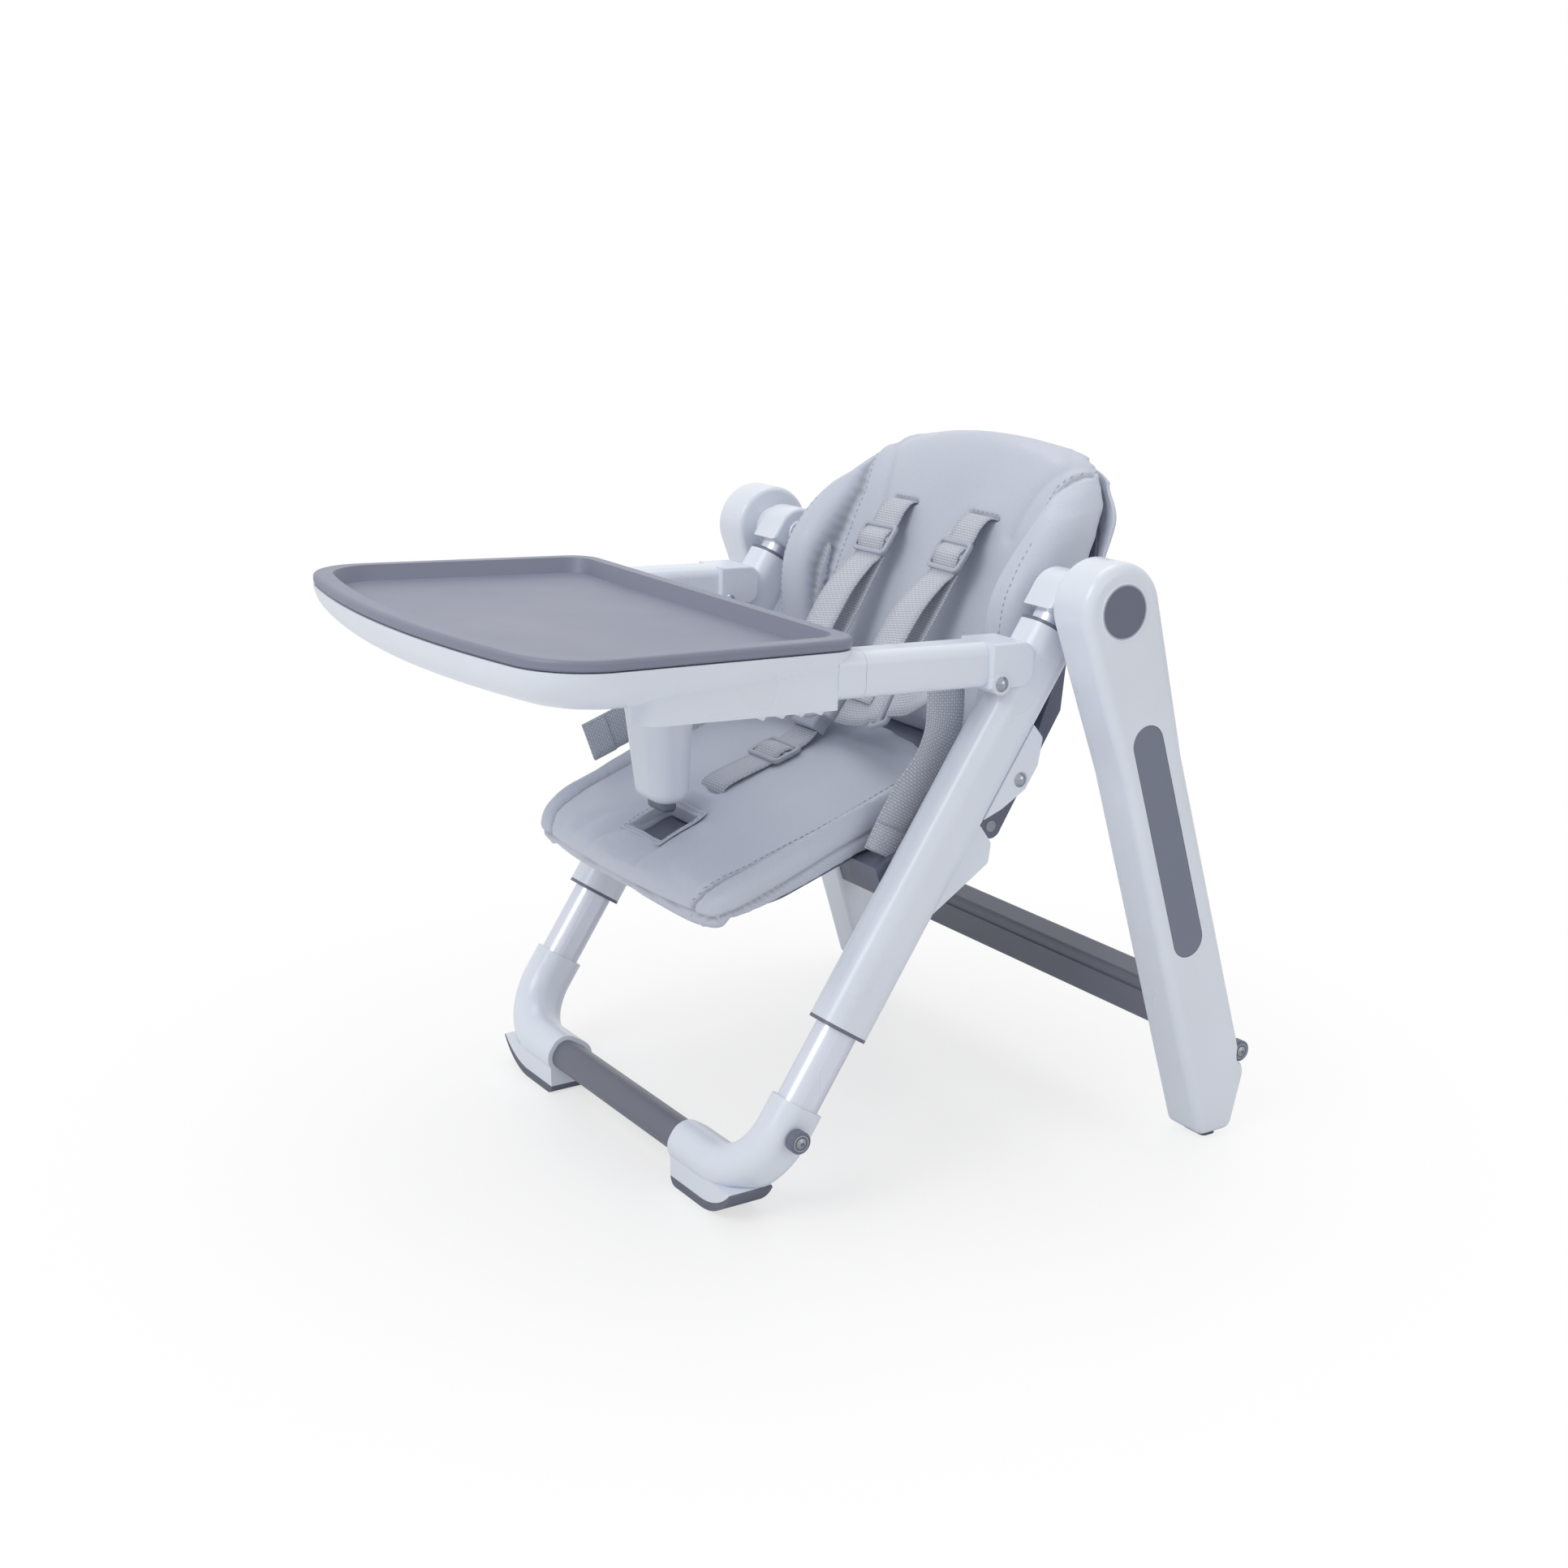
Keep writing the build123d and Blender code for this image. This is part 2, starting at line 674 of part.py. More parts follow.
# Rear rollers and their axles
rear_roller_face = outer_x - rear_roller_inset
with BuildPart() as rear_roller:
    with BuildSketch(rear_side(rear_roller_face - roller_width)):
        with Locations((rear_roller_offset, -rear_roller_drop)):
            Circle(roller_radius)
            Circle(axle_radius + pin_gap, mode=Mode.SUBTRACT)
    extrude(amount=roller_width)
    chamfer(edges().filter_by(GeomType.CIRCLE).group_by(SortBy.RADIUS)[-1], length=roller_edge)
write_pair("rear_roller", rear_roller)
rear_axle_y = hub_y + rear_roller_drop * sin_rear + rear_roller_offset * cos_rear
rear_axle_z = hub_height - rear_roller_drop * cos_rear + rear_roller_offset * sin_rear
rear_axle_face = rear_roller_face + run_gap
rear_axle = domed_pin(
    Plane(origin=(rear_axle_face, rear_axle_y, rear_axle_z), x_dir=(1, 0, 0), z_dir=(0, 0, 1)),
    rear_axle_face - part_x,
    axle_radius,
    axle_head,
    axle_dome,
)
write_group("rear_roller_axles", rear_axle)

# Fold buttons in the hubs
with BuildPart() as fold_button:
    with BuildSketch(rear_side(button_back)):
        Circle(fold_button_radius)
    extrude(amount=fold_button_depth)
    fillet(edges().filter_by(GeomType.CIRCLE).sort_by(Axis.X)[-1], button_edge)
write_pair("fold_button", fold_button)

# Sleeves with their gusset and bracket lobe
sleeve_start = sleeve_top + bush_flange
sleeve_end = sleeve_bottom - bush_flange
sleeve_bore_width = sleeve_width - 2 * sleeve_wall
sleeve_bore_depth = sleeve_depth - 2 * sleeve_wall
sleeve_bore_corner = sleeve_corner - sleeve_wall
sleeve_back = sleeve_depth / 2
gusset_root = sleeve_back - sleeve_wall
lobe_mid = (lobe_top + lobe_low) / 2
lobe_screw_behind = sleeve_back + lobe_depth / 2
with BuildPart() as leg_sleeve:
    with BuildSketch(leg_side(leg_x - gusset_width / 2)):
        with BuildLine():
            Polyline(
                (gusset_root - sleeve_wall, -gusset_top),
                (sleeve_back + gusset_depth * 0.7, -gusset_top - gusset_depth * 0.35),
                (sleeve_back + gusset_depth, -gusset_top - gusset_depth),
                (gusset_root - sleeve_wall, -gusset_low),
                close=True,
            )
        make_face()
        fillet(vertices().sort_by(Axis.X)[-2:], gusset_depth / 4)
    extrude(amount=gusset_width)
    with BuildSketch(leg_side(leg_x)):
        with BuildLine():
            Polyline(
                (gusset_root - sleeve_wall, -lobe_top),
                (sleeve_back + lobe_depth / 2, -lobe_top - lobe_depth / 4),
                (sleeve_back + lobe_depth, -lobe_mid + lobe_depth),
                (sleeve_back + lobe_depth, -lobe_mid - lobe_depth / 4),
                (sleeve_back + lobe_depth / 3, -lobe_mid - 1.6 * lobe_depth),
                (gusset_root - sleeve_wall, -lobe_low),
                close=True,
            )
        make_face()
        fillet(vertices().sort_by(Axis.X)[-4:], lobe_depth / 4)
    extrude(amount=lobe_width)
    with BuildSketch(leg_plane(sleeve_end)):
        RectangleRounded(sleeve_width, sleeve_depth, sleeve_corner)
    extrude(amount=sleeve_end - sleeve_start)
    with BuildSketch(leg_plane(sleeve_end)):
        RectangleRounded(sleeve_bore_width, sleeve_bore_depth, sleeve_bore_corner)
    extrude(amount=sleeve_end - sleeve_start, mode=Mode.SUBTRACT)
    with BuildSketch(leg_side(leg_x)):
        with Locations((lobe_screw_behind, -lobe_mid)):
            Circle(bolt_radius + pin_gap)
    extrude(amount=lobe_width, mode=Mode.SUBTRACT)
    with BuildSketch(leg_side(leg_x)):
        with Locations((0, -height_button_drop)):
            Circle(height_button_radius + run_gap)
    extrude(amount=-sleeve_width, mode=Mode.SUBTRACT)
write_pair("leg_sleeve", leg_sleeve)


def sleeve_bush(flange_drop, skirt_drop, skirt_length):
    """Guide bush: a flange as wide as the sleeve and a skirt inside it, bored for the tube."""
    with BuildPart() as bush:
        with BuildSketch(leg_plane(flange_drop)):
            RectangleRounded(sleeve_width, sleeve_depth, sleeve_corner)
        extrude(amount=bush_flange)
        with BuildSketch(leg_plane(skirt_drop)):
            RectangleRounded(
                sleeve_bore_width - 2 * fit_gap, sleeve_bore_depth - 2 * fit_gap, sleeve_bore_corner - fit_gap
            )
        extrude(amount=skirt_length)
        with BuildSketch(leg_plane(sleeve_bottom)):
            RectangleRounded(tube_width + 2 * run_gap, tube_depth + 2 * run_gap, tube_corner + run_gap)
        extrude(amount=sleeve_bottom - sleeve_top, mode=Mode.SUBTRACT)
    return bush


write_group("upper_bushes", sleeve_bush(sleeve_start, sleeve_start + bush_skirt, bush_skirt))
write_group("lower_bushes", sleeve_bush(sleeve_bottom, sleeve_end, bush_skirt))

# Chrome screws of the bracket lobes
lobe_y, lobe_z = on_leg(lobe_mid, lobe_screw_behind)
bracket_screw = domed_pin(
    Plane(origin=(leg_x + lobe_width, lobe_y, lobe_z), x_dir=(1, 0, 0), z_dir=(0, 0, 1)),
    lobe_width,
    bolt_radius,
    bolt_head,
    bolt_dome,
)
write_group("bracket_screws", bracket_screw)

# Height buttons in the inner faces of the sleeves
with BuildPart() as height_button:
    with BuildSketch(leg_side(sleeve_inner_x - height_button_proud)):
        with Locations((0, -height_button_drop)):
            Circle(height_button_radius)
    extrude(amount=height_button_length)
    fillet(edges().filter_by(GeomType.CIRCLE).sort_by(Axis.X)[0], height_button_proud)
write_pair("height_button", height_button)

# Saddles that wrap the sleeves and hold the arms
saddle_width = sleeve_width + 2 * saddle_wall
with BuildPart() as arm_saddle:
    with BuildSketch(arm_side(leg_x - saddle_width / 2)):
        with Locations((saddle_rear, 0)):
            Rectangle(saddle_front + saddle_rear, arm_height, align=(Align.MAX, Align.CENTER))
        fillet(vertices().group_by(Axis.X)[-1], arm_height / 3)
    extrude(amount=saddle_width)
    fillet(faces().sort_by(Axis.X)[0].edges(), saddle_wall)
    fillet(faces().sort_by(Axis.X)[-1].edges(), saddle_wall)
    with BuildSketch(arm_side(leg_x)):
        with Locations((-bolt_forward, -bolt_below)):
            Circle(bolt_boss_radius)
    extrude(amount=saddle_width / 2 + bolt_boss_proud)
    with BuildSketch(leg_plane(arm_drop + saddle_front)):
        RectangleRounded(sleeve_width + 2 * fit_gap, sleeve_depth + 2 * fit_gap, sleeve_corner + fit_gap)
    extrude(amount=2 * saddle_front, mode=Mode.SUBTRACT)
    with BuildSketch(arm_section(saddle_front - saddle_socket)):
        Rectangle(tongue_width + 2 * fit_gap, tongue_height + 2 * fit_gap)
    extrude(amount=saddle_socket, mode=Mode.SUBTRACT)
    with BuildSketch(arm_side(leg_x - saddle_width)):
        with Locations((-bolt_forward, -bolt_below)):
            Circle(bolt_radius + pin_gap)
    extrude(amount=2 * saddle_width, mode=Mode.SUBTRACT)
write_pair("arm_saddle", arm_saddle)

# Arms, with a tongue into the saddle and a long one into the tray pocket
with BuildPart() as tray_arm:
    with BuildSketch(arm_section(saddle_front)):
        RectangleRounded(arm_width, arm_height, arm_corner)
    extrude(amount=arm_shoulder - saddle_front)
    with BuildSketch(arm_section(saddle_front - saddle_socket + run_gap)):
        Rectangle(tongue_width, tongue_height)
    extrude(amount=tongue_end - saddle_front + saddle_socket - run_gap)
    with BuildSketch(arm_side(leg_x - saddle_width)):
        with Locations((-bolt_forward, -bolt_below)):
            Circle(bolt_radius + pin_gap)
    extrude(amount=2 * saddle_width, mode=Mode.SUBTRACT)
write_pair("tray_arm", tray_arm)

# Chrome bolts through the saddles, domed at both ends
root_y, root_z = on_leg(arm_drop)
bolt_y = root_y - bolt_forward * cos_arm - bolt_below * sin_arm
bolt_z = root_z + bolt_forward * sin_arm - bolt_below * cos_arm
arm_bolt = domed_pin(
    Plane(
        origin=(leg_x + saddle_width / 2 + bolt_boss_proud, bolt_y, bolt_z),
        x_dir=(1, 0, 0),
        z_dir=(0, 0, 1),
    ),
    saddle_width + bolt_boss_proud,
    bolt_radius,
    bolt_head,
    bolt_dome,
    two_heads=True,
)
write_group("arm_bolts", arm_bolt)


def tray_outline(inset):
    """Outline of the tray: straight back, flared sides, bowed front."""
    rear = -tray_rear - inset
    front = -tray_rear - tray_depth + inset
    shoulder = front + tray_front_bow
    half_rear = tray_half_rear - inset
    half_front = tray_half_front - inset
    with BuildLine() as outline:
        Polyline((half_front, shoulder), (half_rear, rear), (-half_rear, rear), (-half_front, shoulder))
        ThreePointArc((-half_front, shoulder), (0, front), (half_front, shoulder))
    make_face(outline.edges())
    fillet(vertices().group_by(Axis.Y)[-1], tray_rear_corner - inset / 2)
    fillet(vertices().sort_by(SortBy.DISTANCE)[-2:], tray_front_corner - inset / 2)


# Tray base: a thin bowl with a pocket for each arm
pocket_width = tongue_width + 2 * (run_gap + pocket_wall)
pocket_top = tongue_height / 2 + run_gap
dish_floor = tray_top - liner_recess
liner_bottom = dish_floor - liner_floor
with BuildPart() as tray_base:
    for wall, mode in ((0, Mode.ADD), (tray_wall, Mode.SUBTRACT)):
        with BuildSketch(tray_plane(tray_bottom + wall)):
            tray_outline(wall + tray_bottom_inset)
        with BuildSketch(tray_plane(tray_bend)):
            tray_outline(wall + tray_bend_inset)
        with BuildSketch(tray_plane(tray_split)):
            tray_outline(wall)
        loft(mode=mode)
    for x in (-leg_x, leg_x):
        with BuildSketch(arm_section(pocket_rear, x)):
            with Locations((0, pocket_top)):
                Rectangle(pocket_width, pocket_top + pocket_below, align=(Align.CENTER, Align.MAX))
        extrude(amount=pocket_front - pocket_rear)
        with BuildSketch(tray_plane(-pocket_below)):
            with Locations((x, -pocket_front)):
                Circle(pocket_width / 2)
        extrude(amount=pocket_top + pocket_below)
        with BuildSketch(arm_section(arm_shoulder + run_gap, x)):
            RectangleRounded(arm_width, arm_height, arm_corner)
        extrude(amount=pocket_rear - arm_shoulder)
        with BuildSketch(arm_section(arm_shoulder, x)):
            Rectangle(tongue_width + 2 * run_gap, tongue_height + 2 * run_gap)
        extrude(amount=pocket_front - arm_shoulder - pocket_wall, mode=Mode.SUBTRACT)
    with BuildSketch(tray_plane(liner_bottom - run_gap)):
        tray_outline(liner_plug - run_gap)
    extrude(amount=tray_split + run_gap - liner_bottom, mode=Mode.SUBTRACT)
write("tray_base", tray_base.part)

# Tray liner: a raised rim round a shallow dish
with BuildPart() as tray_liner:
    with BuildSketch(tray_plane(tray_split + run_gap)):
        tray_outline(0)
    extrude(amount=tray_top - tray_split - run_gap)
    fillet(faces().sort_by(Axis.Z)[-1].edges(), liner_edge)
    with BuildSketch(tray_plane(liner_bottom)):
        tray_outline(liner_plug)
    extrude(amount=tray_split + run_gap - liner_bottom)
    with BuildSketch(tray_plane(dish_floor)):
        tray_outline(liner_rim + liner_recess / 3)
    with BuildSketch(tray_plane(tray_top)):
        tray_outline(liner_rim)
    loft(mode=Mode.SUBTRACT)
write("tray_liner", tray_liner.part)

# Crotch post under the tray, with a tab that dips into the seat slot
with BuildPart() as tray_post:
    with BuildSketch(tray_plane(tray_bottom)):
        with Locations((0, -post_forward)):
            RectangleRounded(post_top_width, post_top_depth, post_top_depth / 3)
    with BuildSketch(tray_plane(tray_bottom - post_length)):
        with Locations((0, -post_forward + post_shift)):
            RectangleRounded(post_tip_width, post_tip_depth, post_tip_depth / 2.2)
    loft()
    fillet(faces().sort_by(Axis.Z)[0].edges(), post_tip_round)
    with BuildSketch(tray_plane(tray_bottom - post_length)):
        with Locations((0, -post_forward + post_shift)):
            Rectangle(post_tip_width / 2, post_tip_depth / 4)
    extrude(amount=-tongue_tab)
write("tray_post", tray_post.part)

# Toothed racks under the pockets
with BuildPart() as tray_rack:
    with BuildSketch(arm_side(leg_x - rack_width / 2)):
        with Locations((-pocket_rear, -pocket_below)):
            Rectangle(rack_length, rack_tooth / 2, align=(Align.MAX, Align.MAX))
        for tooth in range(rack_teeth):
            tooth_back = -pocket_rear - (tooth + 0.5) * rack_length / rack_teeth
            with Locations((tooth_back, -pocket_below - rack_tooth / 2)):
                Circle(rack_tooth / 2)
    extrude(amount=rack_width)
write_group("tray_racks", tray_rack)


def padded_section(half_width, base, edge, bolster, seam, seam_height, crown):
    """Section of a sewn pad: flat back, bulging sides, two bolsters and a crowned middle panel."""
    foot = half_width - pad_tuck
    brim = half_width - pad_tuck / 2
    middle = (base + edge) / 2
    roll = (half_width + seam) / 2
    with BuildLine() as outline:
        Line((-foot, base), (foot, base))
        ThreePointArc((foot, base), (half_width, middle), (brim, edge))
        ThreePointArc((brim, edge), (roll, bolster), (seam, seam_height))
        ThreePointArc((seam, seam_height), (0, crown), (-seam, seam_height))
        ThreePointArc((-seam, seam_height), (-roll, bolster), (-brim, edge))
        ThreePointArc((-brim, edge), (-half_width, middle), (-foot, base))
    make_face(outline.edges())


# Seat pan with ears to the sleeves and lugs at the recline hinge
pan_top = seat_base - soft_gap
ear_level = pan_top - (pan_thick + ear_height) / 2
leg_to_seat = radians(leg_lean + seat_slope)
ear_back = (ear_level * sin(leg_to_seat) - hinge_behind) / cos(leg_to_seat)
with BuildPart() as seat_shell:
    with BuildSketch(seat_level(pan_top)):
        with Locations((0, -pan_rear)):
            Rectangle(
                2 * (seat_half_width - pan_side_inset),
                seat_front - pan_front_inset - pan_rear,
                align=(Align.CENTER, Align.MAX),
            )
        fillet(vertices().group_by(Axis.Y)[0], pan_front_inset)
    extrude(amount=-pan_thick)
    for side in (-1, 1):
        with BuildSketch(seat_side(side * lug_inner)):
            Circle(lug_radius)
            with BuildLine():
                Polyline(
                    (lug_radius, 0),
                    (-pan_rear, pan_top),
                    (-ear_length - pan_rear, pan_top - pan_thick / 2),
                    (-lug_radius / 2, -lug_radius / 1.2),
                    close=True,
                )
            make_face()
        extrude(amount=side * lug_width)
        with BuildSketch(seat_side(side * lug_inner)):
            with Locations((ear_back, ear_level)):
                Rectangle(ear_length, ear_height)
        extrude(amount=side * (sleeve_inner_x - lug_inner))
    with BuildSketch(seat_side(0)):
        Circle(recline_pin_radius + pin_gap)
    extrude(amount=leg_spacing, both=True, mode=Mode.SUBTRACT)
write("seat_shell", seat_shell.part)

# Seat cushion, cut at its rear to the slope of the backrest
with BuildPart() as seat_cushion:
    for back, side_inset, edge, bolster, seam_inset, seam_height, crown_drop in seat_profile:
        with BuildSketch(seat_section(back - seat_front)):
            padded_section(
                seat_half_width - side_inset,
                seat_base,
                seat_base + edge,
                seat_base + bolster,
                seat_seam - seam_inset,
                seat_base + seam_height,
                seat_crown - crown_drop,
            )
    loft()
    with BuildSketch(seat_side(0)):
        with BuildLine():
            Polyline(
                (seat_heel, 0),
                (seat_heel, seat_base),
                (seat_heel + seat_heel_rake, 2 * seat_crown),
                (seat_front, 2 * seat_crown),
                (seat_front, 0),
                close=True,
            )
        make_face()
    extrude(amount=leg_spacing, both=True, mode=Mode.SUBTRACT)
    with BuildSketch(seat_level(0)):
        with Locations((0, -slot_forward)):
            Rectangle(slot_width, slot_depth)
        with Locations((0, -strap_slot_forward)):
            Rectangle(strap_width + 2 * strap_slot_gap, strap_thick + 2 * strap_slot_gap)
    extrude(amount=2 * seat_crown, mode=Mode.SUBTRACT)
write("seat_cushion", seat_cushion.part)

# Steel pins of the recline hinge
with BuildPart() as recline_pin:
    with BuildSketch(seat_side(lug_inner)):
        Circle(recline_pin_radius)
    extrude(amount=2 * lug_width + run_gap)
write_group("recline_pins", recline_pin)

# Backrest shell with hinge lugs outside the seat's
back_face = back_rear - soft_gap
back_shell_half = lug_inner + 2 * lug_width
with BuildPart() as back_shell:
    with BuildSketch(back_level(back_face)):
        with Locations((0, back_base)):
            Rectangle(2 * back_shell_half, back_shell_top - back_base, align=(Align.CENTER, Align.MIN))
        fillet(vertices().group_by(Axis.Y)[-1], lug_inner / 2)
    extrude(amount=-back_shell_thick)
    for side in (-1, 1):
        with BuildSketch(back_side(side * (lug_inner + lug_width + run_gap))):
            Circle(lug_radius)
            with BuildLine():
                Polyline(
                    (0, -lug_radius),
                    (back_base + ear_length, back_face - back_shell_thick - lug_radius),
                    (back_base + 2 * ear_length, back_face),
                    (back_base, back_face),
                    (0, lug_radius),
                    close=True,
                )
            make_face()
        extrude(amount=side * (lug_width - run_gap))
    with BuildSketch(seat_side(0)):
        Circle(recline_pin_radius + pin_gap)
    extrude(amount=leg_spacing, both=True, mode=Mode.SUBTRACT)
write("back_shell", back_shell.part)

# Back cushion with forward wings
with BuildPart() as back_cushion:
    for height, side_inset, rear_lift, edge, wing_drop, seam_inset, seam_height, crown_drop in back_profile:
        with BuildSketch(back_section(height)):
            padded_section(
                back_half_width - side_inset,
                back_rear + rear_lift,
                edge,
                back_wing - wing_drop,
                back_seam - seam_inset,
                seam_height,
                back_crown - crown_drop,
            )
    loft()
    with BuildSketch(back_level(0)):
        for x in (-shoulder_spacing / 2, shoulder_spacing / 2):
            with Locations((x, shoulder_slot_height)):
                Rectangle(strap_width + 2 * strap_slot_gap, strap_thick + 2 * strap_slot_gap)
    extrude(amount=2 * back_crown, both=True, mode=Mode.SUBTRACT)
write("back_cushion", back_cushion.part)

# Harness buckle with lugs for the three straps, and its press button
sin_tilt, cos_tilt = sin(radians(buckle_tilt)), cos(radians(buckle_tilt))
buckle_y = hinge_y - buckle_forward * cos_seat - buckle_height * sin_seat
buckle_z = hinge_z - buckle_forward * sin_seat + buckle_height * cos_seat
buckle_normal = (0, -sin(radians(seat_slope + buckle_tilt)), cos(radians(seat_slope + buckle_tilt)))
buckle_plane = Plane(origin=(0, buckle_y, buckle_z), x_dir=(1, 0, 0), z_dir=buckle_normal)
lug_end = buckle_radius + buckle_lug
with BuildPart() as harness_buckle:
    with BuildSketch(buckle_plane.offset(-buckle_thick / 2)):
        Circle(buckle_radius)
        Rectangle(2 * lug_end, buckle_lug_width)
        Rectangle(buckle_lug_width, lug_end, align=(Align.CENTER, Align.MAX))
    extrude(amount=buckle_thick)
    fillet(faces().sort_by(Axis(buckle_plane.origin, buckle_normal))[-1].edges(), buckle_lug / 2)
    button_floor = buckle_thick / 2 + buckle_button_proud - buckle_button_length
    with BuildSketch(buckle_plane.offset(button_floor - buckle_button_travel - run_gap)):
        Circle(buckle_button_radius + run_gap)
    extrude(amount=buckle_thick, mode=Mode.SUBTRACT)
write("harness_buckle", harness_buckle.part)
with BuildPart() as buckle_button:
    with BuildSketch(buckle_plane.offset(button_floor)):
        Circle(buckle_button_radius)
    extrude(amount=buckle_button_length)
    fillet(faces().sort_by(Axis(buckle_plane.origin, buckle_normal))[-1].edges(), buckle_button_proud / 2)
write("buckle_button", buckle_button.part)


def strap(path_plane, points, radii):
    """Webbing that follows a path in a plane and lies square to it."""
    with BuildPart() as webbing:
        with BuildSketch(path_plane):
            with BuildLine():
                FilletPolyline(*points, radius=radii)
            trace(line_width=strap_thick)
        extrude(amount=strap_width / 2, both=True)
    return webbing


def slider(face_plane):
    """Strap slider: a flat frame with two windows and a middle bar, lying on a strap."""
    window_width = slider_width - 2 * slider_bar
    window_length = slider_length / 2 - 1.5 * slider_bar
    outward = Axis(face_plane.origin, face_plane.z_dir)
    with BuildPart() as frame:
        with BuildSketch(face_plane.offset(strap_thick / 2 + run_gap)):
            RectangleRounded(slider_width, slider_length, slider_bar)
            with GridLocations(0, slider_length / 2 - slider_bar / 2, 1, 2):
                Rectangle(window_width, window_length, mode=Mode.SUBTRACT)
        extrude(amount=slider_thick)
        fillet(faces().sort_by(outward)[-1].outer_wire().edges(), slider_edge)
    return frame


# Crotch strap, from the pan up through the cushion and along it to the buckle
strap_z = seat_crown + soft_gap + strap_thick / 2
crotch_reach = lug_end + run_gap
crotch_end = (-buckle_forward - crotch_reach * cos_tilt, buckle_height - crotch_reach * sin_tilt)
crotch_points = [
    (-strap_slot_forward, pan_top + run_gap),
    (-strap_slot_forward, strap_z),
    (crotch_end[0] - buckle_radius / 2, strap_z),
    crotch_end,
]
crotch_strap = strap(seat_side(0), crotch_points, [strap_tight_bend, 2 * strap_bend])
write("crotch_strap", crotch_strap.part)

# Lap straps, from the buckle out to the sides
lap_plane = Plane(origin=(0, buckle_y, buckle_z), x_dir=(1, 0, 0), z_dir=(0, -1, 0))
lap_end = tail_offset - strap_thick / 2 - 3 * run_gap
lap_bend_x = lap_slider_x - slider_length
lap_points = [(lug_end + 3 * run_gap, 0), (lap_bend_x, lap_flat), (lap_end, lap_rise)]
lap_strap = strap(lap_plane, lap_points, [strap_sweep])
write_pair("lap_strap", lap_strap)


def tail(x, points, radii):
    """Loose webbing end that hangs flat beside the seat."""
    with BuildPart() as webbing:
        with BuildSketch(Plane.YZ.offset(x - strap_thick / 2)):
            with BuildLine():
                FilletPolyline(*points, radius=radii)
            trace(line_width=strap_width)
        extrude(amount=strap_thick)
    return webbing


tail_top = buckle_z + lap_rise + strap_thick
near_tail_points = [
    (buckle_y, tail_top),
    (buckle_y, buckle_z + lap_rise / 4),
    (buckle_y - tail_forward, buckle_z - tail_length),
]
write("strap_tail_left", tail(tail_offset, near_tail_points, [strap_sweep]).part)
far_tail_points = [
    (buckle_y, tail_top),
    (buckle_y - strap_width / 2, buckle_z - far_tail_length / 4),
    (buckle_y - far_tail_forward, buckle_z - far_tail_length),
]
write("strap_tail_right", tail(-tail_offset, far_tail_points, [strap_sweep]).part)

# Sliders on the crotch and lap straps
lap_slope = (lap_rise - lap_flat) / (lap_end - lap_bend_x)
slider_z = buckle_z + lap_flat + slider_length * lap_slope
crotch_level = seat_level(strap_z)
crotch_slider_origin = crotch_level.from_local_coords((0, -crotch_slider_forward, 0))
crotch_slider = slider(crotch_level.shift_origin(crotch_slider_origin))
left_slider = slider(
    Plane(origin=(lap_slider_x, buckle_y, slider_z), x_dir=(0, 1, 0), z_dir=(-lap_slope, 0, 1))
)
with BuildPart() as strap_sliders:
    add(crotch_slider.part)
    add(left_slider.part)
    mirror(left_slider.part, about=Plane.YZ)
write("strap_sliders", strap_sliders.part)

# Shoulder straps, from the back slots down to the lap straps, with their sliders
slot_y = hinge_y + shoulder_slot_height * sin_back - back_crown * cos_back
slot_z = hinge_z + shoulder_slot_height * cos_back + back_crown * sin_back
shoulder_fall = buckle_z + lap_flat + strap_thick + soft_gap - slot_z
shoulder_run = Vector(shoulder_end_x - shoulder_spacing / 2, buckle_y - slot_y, 0)
shoulder_dir = shoulder_run.normalized()
shoulder_plane = Plane(
    origin=(shoulder_spacing / 2, slot_y, slot_z),
    x_dir=shoulder_dir,
    z_dir=shoulder_dir.cross(Vector(0, 0, 1)),
)
shoulder_length = shoulder_run.length
slider_point = Vector(shoulder_slider_share * shoulder_length, shoulder_slider_fall * shoulder_fall)
low_point = Vector(shoulder_low_share * shoulder_length, shoulder_low_share * shoulder_fall)
shoulder_points = [
    (-shoulder_tuck * cos_back, -shoulder_tuck * sin_back),
    (shoulder_lift * cos_back, shoulder_lift * sin_back),
    (slider_point.X, slider_point.Y),
    (low_point.X, low_point.Y),
    (shoulder_length, shoulder_fall),
]
shoulder_strap = strap(shoulder_plane, shoulder_points, [strap_bend, strap_sweep, strap_sweep])
write_pair("shoulder_strap", shoulder_strap)
slider_way = (low_point - slider_point).normalized()
slider_mid = slider_point + slider_way * slider_length
slider_across = shoulder_plane.z_dir
slider_out = shoulder_dir * -slider_way.Y + Vector(0, 0, 1) * slider_way.X
shoulder_slider = slider(
    Plane(
        origin=shoulder_plane.from_local_coords((slider_mid.X, slider_mid.Y, 0)),
        x_dir=slider_across,
        z_dir=slider_out,
    )
)
write_group("shoulder_sliders", shoulder_slider)
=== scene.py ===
import json
from math import cos, exp, floor, pi, radians, sin

import bmesh
import bpy
from mathutils import Matrix, Vector
from mathutils.bvhtree import BVHTree
from mathutils.geometry import interpolate_bezier, intersect_point_line


